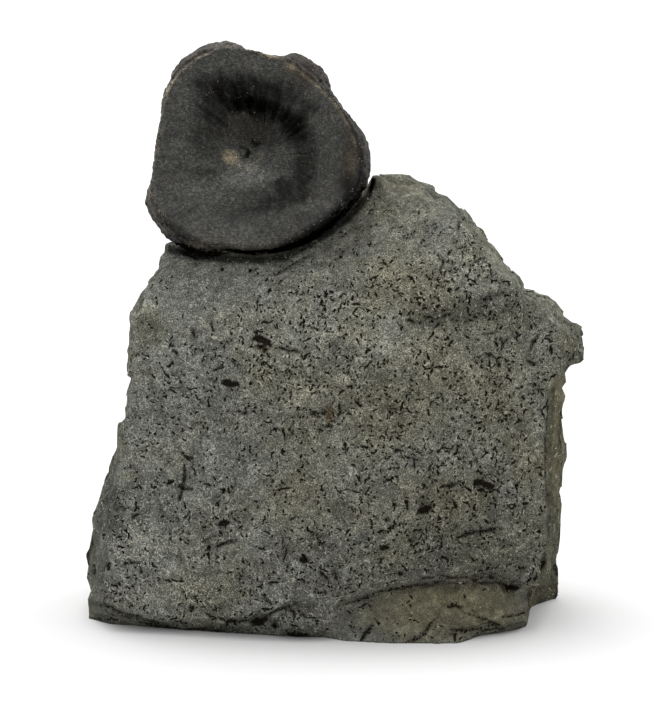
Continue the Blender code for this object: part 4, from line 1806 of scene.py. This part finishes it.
# Dark fragments of the rock; the marks along the cracks and in the pits at the foot are painted shade.
BLOCK_MARKS = (
    Mark(((256, 338), (263, 340), (270, 345)), 2.0),
    Mark(((258, 346), (266, 350)), 1.4),
    Mark(FACE_SCRATCH, 0.5),
    Mark(((224, 382), (231, 384), (238, 385)), 2.0),
    Mark(((212, 371), (224, 367)), 0.5),
    Mark(((338, 405), (340, 411), (337, 418)), 0.7),
    Mark(((328, 423), (331, 429)), 0.7),
    Mark(((323, 409), (326, 414)), 0.5),
    Mark(((310, 414), (320, 417)), 0.8),
    Mark(((355, 400), (362, 407)), 0.9),
    Mark(((192, 329), (196, 337)), 0.9),
    Mark(((210, 322), (214, 330)), 0.8),
    Mark(((172, 351), (178, 354)), 0.8),
    Mark(UPPER_CRACK, 0.4),
    Mark(((437, 255), (444, 260), (441, 269)), 0.5),
    Mark(((458, 230), (459, 221), (466, 218)), 0.5),
    Mark(((475, 261), (485, 258)), 0.5),
    Mark(((483, 333), (497, 333)), 0.4),
    Mark(((500, 338), (503, 344), (501, 351)), 0.6),
    Mark(((503, 344), (507, 339)), 0.5),
    Mark(((487, 353), (497, 359)), 0.7),
    Mark(((497, 363), (500, 366)), 0.8),
    Mark(((528, 361), (534, 364)), 0.8),
    Mark(NOSE_CRACK, 0.5),
    Mark(((184, 465), (185, 476), (183, 488)), 0.6),
    Mark(((179, 486), (184, 489), (191, 490)), 1.0),
    Mark(((182, 489), (179, 501)), 0.45),
    Mark(((186, 517), (190, 511)), 0.5),
    Mark(((127, 560), (133, 562), (140, 563)), 0.45),
    Mark(((204, 541), (211, 537), (218, 535)), 0.4),
    Mark(((183, 453), (189, 459)), 0.9),
    Mark(((234, 412), (242, 411), (247, 415)), 0.5),
    Mark(((312, 412), (318, 414), (324, 414)), 0.9),
    Mark(((219, 524), (228, 523)), 1.6),
    Mark(((216, 547), (224, 543), (236, 541)), 0.7),
    Mark(((131, 519), (137, 514)), 0.8),
    Mark(((188, 457), (192, 458)), 0.8),
    Mark(((303, 555), (308, 562)), 1.2),
    Mark(((264, 597), (272, 606)), 0.6),
    Mark(((190, 607), (193, 609)), 1.0),
    Mark(((254, 623), (265, 620)), 1.5),
    Mark(((227, 622), (237, 622)), 0.7),
    Mark(((274, 627), (277, 627)), 1.3),
    Mark(((290, 636), (310, 638)), 0.8),
    Mark(((395, 451), (400, 450)), 1.2),
    Mark(((474, 482), (482, 484), (492, 487)), 1.9),
    Mark(((478, 490), (488, 491)), 1.1),
    Mark(((440, 487), (455, 485)), 1.0),
    Mark(((419, 512), (425, 509), (431, 507)), 1.8),
    Mark(((385, 519), (389, 520)), 0.9),
    Mark(((390, 527), (394, 528)), 0.9),
    Mark(((381, 548), (389, 547)), 1.2),
    Mark(((409, 541), (413, 541)), 1.2),
    Mark(LOW_CRACK, 0.6),
    Mark(((472, 514), (476, 517)), 0.9),
    Mark(((541, 568), (544, 561)), 1.1),
    Mark(((519, 569), (526, 567)), 0.6),
    Mark(((398, 573), (402, 574)), 1.1),
    Mark(((362, 640), (366, 633), (371, 626)), 1.1),
    Mark(((447, 607), (455, 606), (462, 608)), 0.6),
    Mark(((108, 563), (109, 570)), 0.8),
    Mark(((92, 574), (96, 570)), 0.7),
    Mark(((124, 563), (127, 564)), 0.9),
    Mark(((131, 563), (137, 562)), 0.6),
    Mark(((209, 546), (210, 551)), 0.7),
    Mark(((407, 320), (416, 322)), 0.7),
    Mark(((424, 317), (434, 320)), 0.6),
    Mark(((443, 316), (452, 314)), 0.7),
    Mark(((300, 559), (307, 561)), 1.4),
    Mark(((320, 572), (328, 580)), 0.7),
    Mark(((333, 570), (338, 583)), 0.7),
)
# Painted shadow: dark lines along the scar's ledge, the cracks at the foot and the edges of the facets and
# side faces, and in the pits.
CRACK_SHADOW_LINES = (
    Mark(((529, 592), (529, 604), (530, 618)), 0.35),
    Mark(((97, 603), (112, 607), (124, 613), (136, 616), (150, 621), (166, 626), (186, 630)), 0.4),
    Mark(((548, 400), (547, 420), (545, 440), (545, 470), (547, 500)), 0.3),
    Mark(((534, 581), (537, 576)), 0.8),
    Mark(((462, 612), (474, 616), (488, 621), (500, 625)), 0.4),
    Mark(((480, 631), (492, 629), (505, 628)), 0.6),
    Mark(((424, 636), (431, 624), (436, 617)), 0.5),
    Mark(((338, 606), (352, 602), (368, 597), (380, 591)), 0.35),
    Mark(((380, 591), (402, 588), (419, 585), (432, 584), (446, 580)), 0.6),
    Mark(((503, 585), (508, 588), (515, 588), (518, 587)), 1.3),
    Mark(((253, 621), (259, 622), (265, 620)), 2.2),
    Mark(((293, 612), (294, 620)), 0.5),
    Mark(((273, 626), (277, 626)), 1.5),
    Mark(((288, 634), (297, 636), (309, 638)), 1.7),
    Mark(((98, 605), (112, 609), (125, 616), (136, 619)), 0.4),
    Mark(((136, 620), (150, 625), (165, 628), (186, 631)), 0.6),
    Mark(((92, 619), (106, 619), (120, 620)), 0.5),
)


# ---- the vertebra ----
# The rim's radius is taken every few degrees, from the points near the front face around that direction.
RIM_STEP = 6.0
RIM_HALF_WIDTH = 4.0
RIM_DEPTH = 3.0
BOWL_STEPS = 201
BOWL_EASE = 25


@dataclass
class FossilVertebra:
    """The vertebra with its bowl, worn rim and pitted flank.

    Attributes:
        centre: middle of its front rim.
        tilt: how far it leans back, in degrees.
        turn: how far it turns to the left, in degrees.
        voxel: size of its faces before they are thinned out.
        smoothing: passes that take the facets off.
        triangles: number of triangles that it ends with.
        steep_bowl: share of the rim radius and w of the bowl's steeper side.
        plain_bowl: the same for its plain side.
        plain_angle: direction of the plain side in degrees, anticlockwise from the right.
        plain_half_width: half the width of the plain side in degrees.
        bowl_turn: how far normals turn to the front between the rim and the bowl.
        bowl_edge: shares of the rim radius between which the pressed bowl ends.
        flank_turn: how far normals turn to the front or the back between the flank and the faces.
        rim_edge: shares of the rim radius between which the worn rim starts.
        lumps: relief of the whole bone.
        worn_lumps: further relief of the worn rim and the flank.
        rings: rings in the bowl.
        ring_stretch: how fast they change around the middle and outwards.
        pits: pits of the worn rim and the flank.
        grooves: grooves on the visible side.
        mottle: mottling.
        waver: waves in the edges of the tinted areas, with their height in picture points.
        streaks: streaks that run out from the middle.
        streak_stretch: how fast they change around the middle and outwards.
        spoke_stretch: the same for the finer spokes of the material.
        front_turn: how far normals turn to the front between the flank's tints and the front's.
        front_end: share of the rim radius where the front's tints end.
        near_waver: share of the waver that the pale spots, the painted rim highlights and the painted light
            and shade have.
        rim_tint: shares of the rim radius between which the rim's tint starts.
        brown_strengths: how brown the rim is, and the mottling of the brown.
        rim_strengths: level, mottling and lowest value of the rim's tint.
        hollow_strengths: level, mottling and streaks of the bowl's black, which is partly dark bone and
            partly painted shade, and of the painted crevice shadow.
        hollow_most: highest value of those parts.
        darkening: how strongly they darken.
        flank_dark: how much darker the flank is.
        shade_strengths: mottling and streaks of the brightness.
        darkest: lowest brightness.
    """

    centre: Triple = (-20.24, -12.89, 128.2)
    tilt: float = 12.0
    turn: float = 4.0
    voxel: float = 0.34
    quick_voxel: float = 0.6
    smoothing: int = 16
    triangles: int = 170000
    steep_bowl: SizesAndHeights = (
        (0.0, -13.9), (0.12, -13.6), (0.22, -13.0), (0.32, -12.0), (0.42, -10.3), (0.52, -7.9),
        (0.62, -5.3), (0.72, -3.5), (0.82, -2.1), (0.92, -0.9), (0.97, -0.35))
    plain_bowl: SizesAndHeights = (
        (0.0, -13.9), (0.12, -12.8), (0.25, -11.3), (0.4, -9.2), (0.55, -6.7), (0.7, -4.3), (0.85, -2.0),
        (0.97, -0.35))
    plain_angle: float = 190.0
    plain_half_width: float = 95.0
    bowl_turn: Pair = (0.15, 0.4)
    bowl_edge: Pair = (0.9, 0.97)
    flank_turn: Pair = (0.45, 0.8)
    rim_edge: Pair = (0.9, 0.98)
    lumps: LumpNoise = LumpNoise(15, ((7.0, 0.16), (2.8, 0.16), (1.3, 0.11)))
    worn_lumps: LumpNoise = LumpNoise(25, ((3.0, 0.22), (1.5, 0.24), (0.9, 0.18)))
    rings: LumpNoise = LumpNoise(22, ((1.0, 0.1),))
    ring_stretch: Pair = (3.0, 0.9)
    pits: Pits = Pits(LumpNoise(28, ((1.2, 1.0),)), 0.3, 1.3)
    grooves: tuple[Crack, ...] = (
        Crack(((172, 79), (178, 70), (187, 62), (200, 54), (213, 50)), 1.1, 0.9, 0.7),
        Crack(((163, 85), (163, 92)), 0.8, 0.6),
        Crack(((300, 64), (309, 68), (318, 77), (326, 88)), 1.2, 0.8, 0.5),
        Crack(((339, 112), (347, 124), (352, 136)), 0.9, 0.5),
    )
    mottle: LumpNoise = LumpNoise(151, ((7.0, 0.5), (3.0, 0.4), (1.5, 0.4)))
    waver: LumpNoise = LumpNoise(153, ((5.0, 4.0), (2.0, 3.5), (0.9, 2.0)))
    streaks: LumpNoise = LumpNoise(155, ((1.0, 1.0),))
    streak_stretch: Pair = (9.0, 0.16)
    spoke_stretch: Pair = (16.0, 0.25)
    front_turn: Pair = (0.1, 0.4)
    front_end: float = 1.05
    near_waver: float = 0.3
    rim_tint: Pair = (0.91, 0.98)
    brown_strengths: Pair = (0.55, 0.4)
    rim_strengths: Triple = (0.75, 0.6, 0.2)
    hollow_strengths: Triple = (0.95, 0.3, 0.45)
    hollow_most: float = 1.1
    darkening: float = 3.6
    flank_dark: float = 0.3
    shade_strengths: Pair = (0.35, 0.15)
    darkest: float = 0.01

    def build(self) -> bpy.types.Object:
        """Make the vertebra from its CAD node, carve it and dress it.

        Returns:
            The piece.
        """
        voxel = self.voxel
        piece = dense_copy(BONE_NODE, "fossil_vertebra", voxel, self.smoothing)
        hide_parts(BONE_NODE)
        self._carve(piece)
        thin_out(piece, self.triangles)
        hold_inside(piece, BONE_NODE)
        self._record_finish(piece)
        piece.data.materials.clear()
        piece.data.materials.append(BoneFinish().build())
        LOG.info("%s: %d triangles", piece.name, len(piece.data.polygons))
        return piece

    def _own_axes(self) -> np.ndarray:
        """Return its own axes.

        Returns:
            Three columns: u to the right, v up and w out of the front.
        """
        stand = Matrix.Rotation(math.radians(90.0), 3, "X")
        lean = Euler((math.radians(-self.tilt), 0.0, math.radians(-self.turn))).to_matrix()
        return np.array(lean @ stand)

    def _local(self, points: np.ndarray) -> tuple[np.ndarray, np.ndarray, np.ndarray]:
        """Return radius, angle in radians and w of places on the bone."""
        own = (points - np.array(self.centre)) @ self._own_axes()
        return np.hypot(own[:, 0], own[:, 1]), np.arctan2(own[:, 1], own[:, 0]), own[:, 2]

    def _rim_share(self, radius: np.ndarray, angle: np.ndarray, w: np.ndarray) -> np.ndarray:
        """Measure radii as shares of the front rim's radius in the same direction.

        Args:
            radius: distances from the middle in mm.
            angle: their angles in radians.
            w: their places along the bone's own axis in mm.

        Returns:
            The shares.
        """
        bins = np.arange(-math.pi, math.pi, math.radians(RIM_STEP))
        near = w > -RIM_DEPTH
        edge = np.array([
            radius[near & (self._turn_between(angle, middle) < math.radians(RIM_HALF_WIDTH))].max()
            for middle in bins
        ])
        turns = np.concatenate((bins - 2.0 * math.pi, bins, bins + 2.0 * math.pi))
        return radius / np.interp(angle, turns, np.tile(edge, 3))

    @staticmethod
    def _turn_between(angle: np.ndarray, other: float) -> np.ndarray:
        """Return how far angles lie from another one, in radians."""
        return np.abs(np.angle(np.exp(1j * (angle - other))))

    def _carve(self, piece: bpy.types.Object) -> None:
        """Press the relief into the bone.

        Args:
            piece: the vertebra.
        """
        mesh = piece.data
        points, normals = points_of(mesh), normals_of(mesh)
        picture, seen = VIEW.project(points), VIEW.seen(normals)
        radius, angle, w = self._local(points)
        share = self._rim_share(radius, angle, w)
        outward = (normals @ self._own_axes())[:, 2]
        bowl = smoothstep(*self.bowl_turn, outward) * (share < 1.0)
        sunk = bowl * (1.0 - smoothstep(*self.bowl_edge, share)) * (self._bowl(share, angle) - w)
        flank = 1.0 - smoothstep(*self.flank_turn, np.abs(outward))
        worn = np.clip(smoothstep(*self.rim_edge, share) * bowl + flank, 0.0, 1.0)
        push = self.lumps.heights(points)
        push += bowl * self.rings.heights(self._spokes(radius, angle, *self.ring_stretch))
        push += worn * (self.worn_lumps.heights(points) - self.pits.depth_at(points))
        for groove in self.grooves:
            push -= seen * groove.depth_at(picture)
        move_points(mesh, points + normals * push[:, None] + sunk[:, None] * self._own_axes()[:, 2])

    def _bowl(self, share: np.ndarray, angle: np.ndarray) -> np.ndarray:
        """Find the bowl's own surface, which is steeper on one side than on the other.

        Args:
            share: shares of the rim radius.
            angle: angles in radians.

        Returns:
            The w of the bowl at each of them.
        """
        fine = np.linspace(0.0, 1.0, BOWL_STEPS)
        ease = np.hanning(BOWL_EASE) / np.hanning(BOWL_EASE).sum()
        depths = []
        for table in (self.steep_bowl, self.plain_bowl):
            shares, depth = np.array(table).T
            level = np.pad(np.interp(fine, shares, depth), BOWL_EASE // 2, mode="edge")
            depths.append(np.interp(share, fine, np.convolve(level, ease, mode="valid")))
        past = self._turn_between(angle, math.radians(self.plain_angle))
        plain = 1.0 - smoothstep(0.0, math.radians(self.plain_half_width), past)
        return depths[0] + (depths[1] - depths[0]) * plain

    @staticmethod
    def _spokes(radius: np.ndarray, angle: np.ndarray, around: float, outwards: float) -> np.ndarray:
        """Return coordinates that stretch noise along the spokes or the rings."""
        return np.stack([np.cos(angle) * around, np.sin(angle) * around, radius * outwards], axis=1)

    def _record_finish(self, piece: bpy.types.Object) -> None:
        """Store what the material needs at every vertex.

        Args:
            piece: the piece.
        """
        mesh = piece.data
        points, normals = points_of(mesh), normals_of(mesh)
        radius, angle, w = self._local(points)
        share = self._rim_share(radius, angle, w)
        outward = (normals @ self._own_axes())[:, 2]
        front = smoothstep(*self.front_turn, outward) * (share < self.front_end)
        picture = VIEW.project(points)
        mottle = self.mottle.heights(points)
        streaks = self.streaks.heights(self._spokes(radius, angle, *self.streak_stretch))
        ragged = picture + self.waver.heights(points)[:, None]
        near = picture + self.near_waver * (ragged - picture)
        rim = np.clip(smoothstep(*self.rim_tint, share) + (1.0 - front), 0.0, 1.0)
        rim_brown, brown_mottle = self.brown_strengths
        brown = rim_brown * rim + areas_at(ragged, BONE_BROWN) * front + brown_mottle * mottle
        # The bowl's black, partly dark bone and partly painted shade on its upper wall, and the painted
        # shadow of the crevice under the rim.
        level, hollow_mottle, hollow_streaks = self.hollow_strengths
        patchy = level + hollow_mottle * mottle + hollow_streaks * streaks
        hollow = np.clip(areas_joined(ragged, BONE_BLACK_AND_SHADE) * patchy, 0.0, self.hollow_most)
        # Painted light and shade from the table, the flank darker, and the black darkening it further.
        shade = (1.0 + areas_at(near, BONE_SHADE)) * (1.0 - self.flank_dark * (1.0 - front))
        shade = shade * np.exp(-self.darkening * hollow)
        add_values(mesh, "polar", self._spokes(radius, angle, *self.spoke_stretch))
        add_values(mesh, "hollow", hollow)
        # Dark pits, and painted shadow lines in the grooves and the crevice under the rim.
        add_values(mesh, "dark", deepest_mark(picture, BONE_MARKS + shadow_lines_of(self.grooves)))
        rim_level, rim_mottle, rim_least = self.rim_strengths
        add_values(mesh, "rim", rim * np.clip(rim_level + rim_mottle * mottle, rim_least, 1.0))
        add_values(mesh, "brown", np.clip(brown, 0.0, 1.0))
        # Pale cream spots, and painted highlights along the top and left of the rim.
        add_values(mesh, "cream_and_highlight", np.clip(areas_at(near, BONE_CREAM_AND_HIGHLIGHT) * (1.0 + streaks), 0.0, 1.0) * front)
        shade_mottle, shade_streaks = self.shade_strengths
        uneven = np.exp(shade_mottle * mottle + shade_streaks * streaks)
        add_values(mesh, "shade", np.maximum(shade, self.darkest) * uneven)


# The bowl's black: partly the dark bone and partly painted shade on the bowl's upper wall, which faces down;
# the stroke is the painted shadow of the crevice under the rim.
BONE_BLACK_AND_SHADE = (
    Patch((252, 106), (26, 10), 0.95, turn=-4.0),
    Patch((268, 116), (18, 10), 0.3),
    Patch((309, 110), (12, 12), 0.3),
    Patch((204, 138), (18, 20), 0.16),
    Patch((282, 187), (12, 10), 0.32),
    Patch((256, 144), (7, 4), 0.4),
    Patch((296, 128), (16, 20), 0.5, turn=20.0),
    Patch((284, 116), (20, 12), 0.42, turn=-30.0),
    Patch((250, 90), (58, 17), 0.44, turn=-6.0),
    Patch((218, 106), (25, 26), 0.34),
    Patch((262, 130), (34, 22), 0.25),
    Patch((304, 166), (14, 34), 0.3, turn=-8.0),
    Patch((276, 203), (48, 10), 0.22, turn=18.0),
    Patch((246, 152), (4, 5), 0.6),
    Patch((205, 176), (14, 10), 0.15),
    Stroke(((172, 248), (196, 254), (225, 257), (262, 258), (288, 254), (310, 243), (330, 230), (350, 212),
            (368, 192)), 2.3, 0.95),
)
# Dark pits in the bowl's middle, painted shade in the groove at the upper left, and the painted shadow of
# the crevice under the lower left rim.
BONE_MARKS = (
    Mark(((163, 85), (163, 92)), 0.6),
    Mark(((240, 147), (249, 150)), 0.5),
    Mark(((241, 155), (247, 158)), 0.4),
    Mark(((170, 240), (190, 250), (214, 256)), 0.8),
)
BONE_BROWN = (
    Patch((350, 165), (12, 50), 0.7),
    Patch((245, 130), (30, 16), 0.5),
    Patch((305, 72), (20, 18), 0.6),
    Patch((240, 190), (60, 40), -0.3),
)
# Pale cream spots in the bowl, and painted highlights: the two strokes along the top and left of the rim.
BONE_CREAM_AND_HIGHLIGHT = (
    Stroke(((158, 112), (163, 98), (170, 84), (181, 68), (194, 58), (208, 52)), 0.6, 0.22),
    Stroke(((262, 53), (280, 59), (298, 70), (316, 85), (331, 100), (343, 115), (351, 130), (356, 145)),
           0.6, 0.26),
    Patch((289, 66), (7, 6), 0.3),
    Patch((352, 170), (4, 14), 0.16),
    Patch((230, 157), (9, 8), 0.46, turn=-20.0),
    Patch((245, 166), (14, 6), 0.05),
    Patch((259, 158), (6, 6), 0.1),
    Patch((253, 111), (1.5, 3), 0.6),
    Patch((229, 119), (2, 4), 0.45),
)
# Painted light and shade, with some of the bone's own tone: a painted highlight on the lower part of the
# bowl, which faces up, and painted shade along the lower rim, in the crevice under it and on the flanks.
BONE_SHADE = (
    Zone(((150, 80), (158, 108), (163, 96), (170, 82), (181, 66), (194, 56), (212, 49), (208, 36),
          (180, 46)), -0.15, 0.4),
    Zone(((341, 110), (349, 125), (355, 143), (359, 160), (359, 178), (353, 192), (368, 196), (380, 182),
          (376, 160), (366, 135), (350, 108)), -0.5, 0.4),
    Stroke(((160, 214), (172, 226), (186, 236), (200, 243), (230, 253), (250, 255), (270, 253), (292, 246),
            (312, 234), (332, 220), (350, 200)), 1.3, -0.35),
    Zone(((148, 196), (153, 204), (162, 217), (170, 225), (185, 236), (200, 243), (190, 256), (165, 250),
          (144, 214)), -0.25, 0.6),
    Zone(((284, 57), (300, 66), (316, 80), (326, 92), (334, 90), (328, 72), (310, 52), (288, 48)),
         -0.35, 0.5),
    Patch((247, 176), (30, 14), 1.4),
    Patch((210, 188), (26, 15), 0.6),
    Patch((352, 184), (11, 22), -0.4),
    Stroke(((286, 238), (303, 230), (320, 218), (335, 205), (346, 192)), 7.0, -0.32),
    Stroke(((288, 245), (304, 237), (318, 227), (332, 216), (346, 204), (356, 194)), 3.0, -0.55),
    Patch((178, 240), (14, 7), -0.5),
    Patch((292, 60), (9, 6), -0.35),
    Patch((205, 215), (34, 16), 0.1, turn=25.0),
    Patch((316, 205), (22, 14), 0.14, turn=-40.0),
    Patch((220, 140), (22, 30), -0.12),
    Patch((238, 222), (70, 18), -0.12),
    Patch((325, 150), (20, 40), -0.08),
    Patch((185, 150), (40, 60), 0.06),
    Patch((300, 180), (20, 22), -0.16, turn=-20.0),
    Patch((274, 203), (36, 10), -0.12, turn=-20.0),
    Patch((345, 165), (12, 50), -0.25),
    Patch((308, 74), (22, 22), -0.25),
    Patch((165, 232), (22, 24), -0.3),
    Patch((362, 160), (8, 40), -0.25),
)


# ---- studio ----
@dataclass(frozen=True)
class Studio:
    """A white floor under a soft white dome of light.

    Attributes:
        floor_half: half the floor's side in m.
        floor_colour: colour of the floor.
        level: strength of the light from the horizon.
        beams: direction, added strength and sharpness of the brighter parts of the dome.
    """

    floor_half: float = 9.0
    floor_colour: Colour = (0.56, 0.56, 0.56)
    level: float = 0.36
    beams: tuple[tuple[Triple, float, float], ...] = (
        ((0.0, 0.2, 0.98), 10.0, 24.0),
        ((0.75, 0.35, 0.56), 2.8, 6.0),
        ((-0.75, 0.35, 0.56), 2.6, 6.0),
        ((-0.3, -0.78, 0.55), 1.25, 3.0),
    )

    def build(self) -> None:
        """Make the floor and the light."""
        self._lay_floor()
        self._hang_light()
        bpy.context.scene.view_settings.view_transform = "Standard"

    def _lay_floor(self) -> None:
        """Lay the plain floor."""
        bm = bmesh.new()
        bmesh.ops.create_grid(bm, x_segments=4, y_segments=4, size=self.floor_half)
        mesh = bpy.data.meshes.new("pale_floor")
        bm.to_mesh(mesh)
        bm.free()
        floor = bpy.data.objects.new("pale_floor", mesh)
        bpy.context.scene.collection.objects.link(floor)
        sheet = MaterialSheet("pale_floor")
        sheet.surface(self.floor_colour, 1.0, 0.0)
        mesh.materials.append(sheet.material)

    def _hang_light(self) -> None:
        """Light the scene from a white dome that is brighter in some directions."""
        world = bpy.data.worlds.new("soft_dome")
        world.use_nodes = True
        sheet = NodeSheet(world.node_tree)
        sky = sheet.node("ShaderNodeTexCoord").outputs["Generated"]
        level: object = self.level
        for direction, amount, sharpness in self.beams:
            facing = sheet.math("MAXIMUM", sheet.facing(sky, direction), 0.0)
            level = sheet.math("MULTIPLY_ADD", sheet.math("POWER", facing, sharpness), amount, level)
        background = sheet.tree.nodes["Background"]
        sheet.put(background.inputs["Color"], (1.0, 1.0, 1.0))
        sheet.put(background.inputs["Strength"], level)
        bpy.context.scene.world = world


def main() -> None:
    """Build every piece in order."""
    logging.basicConfig(level=logging.INFO, format="%(message)s")
    VIEW.build()
    Studio().build()
    MatrixBlock().build()
    FossilVertebra().build()


if __name__ == "__main__":
    main()
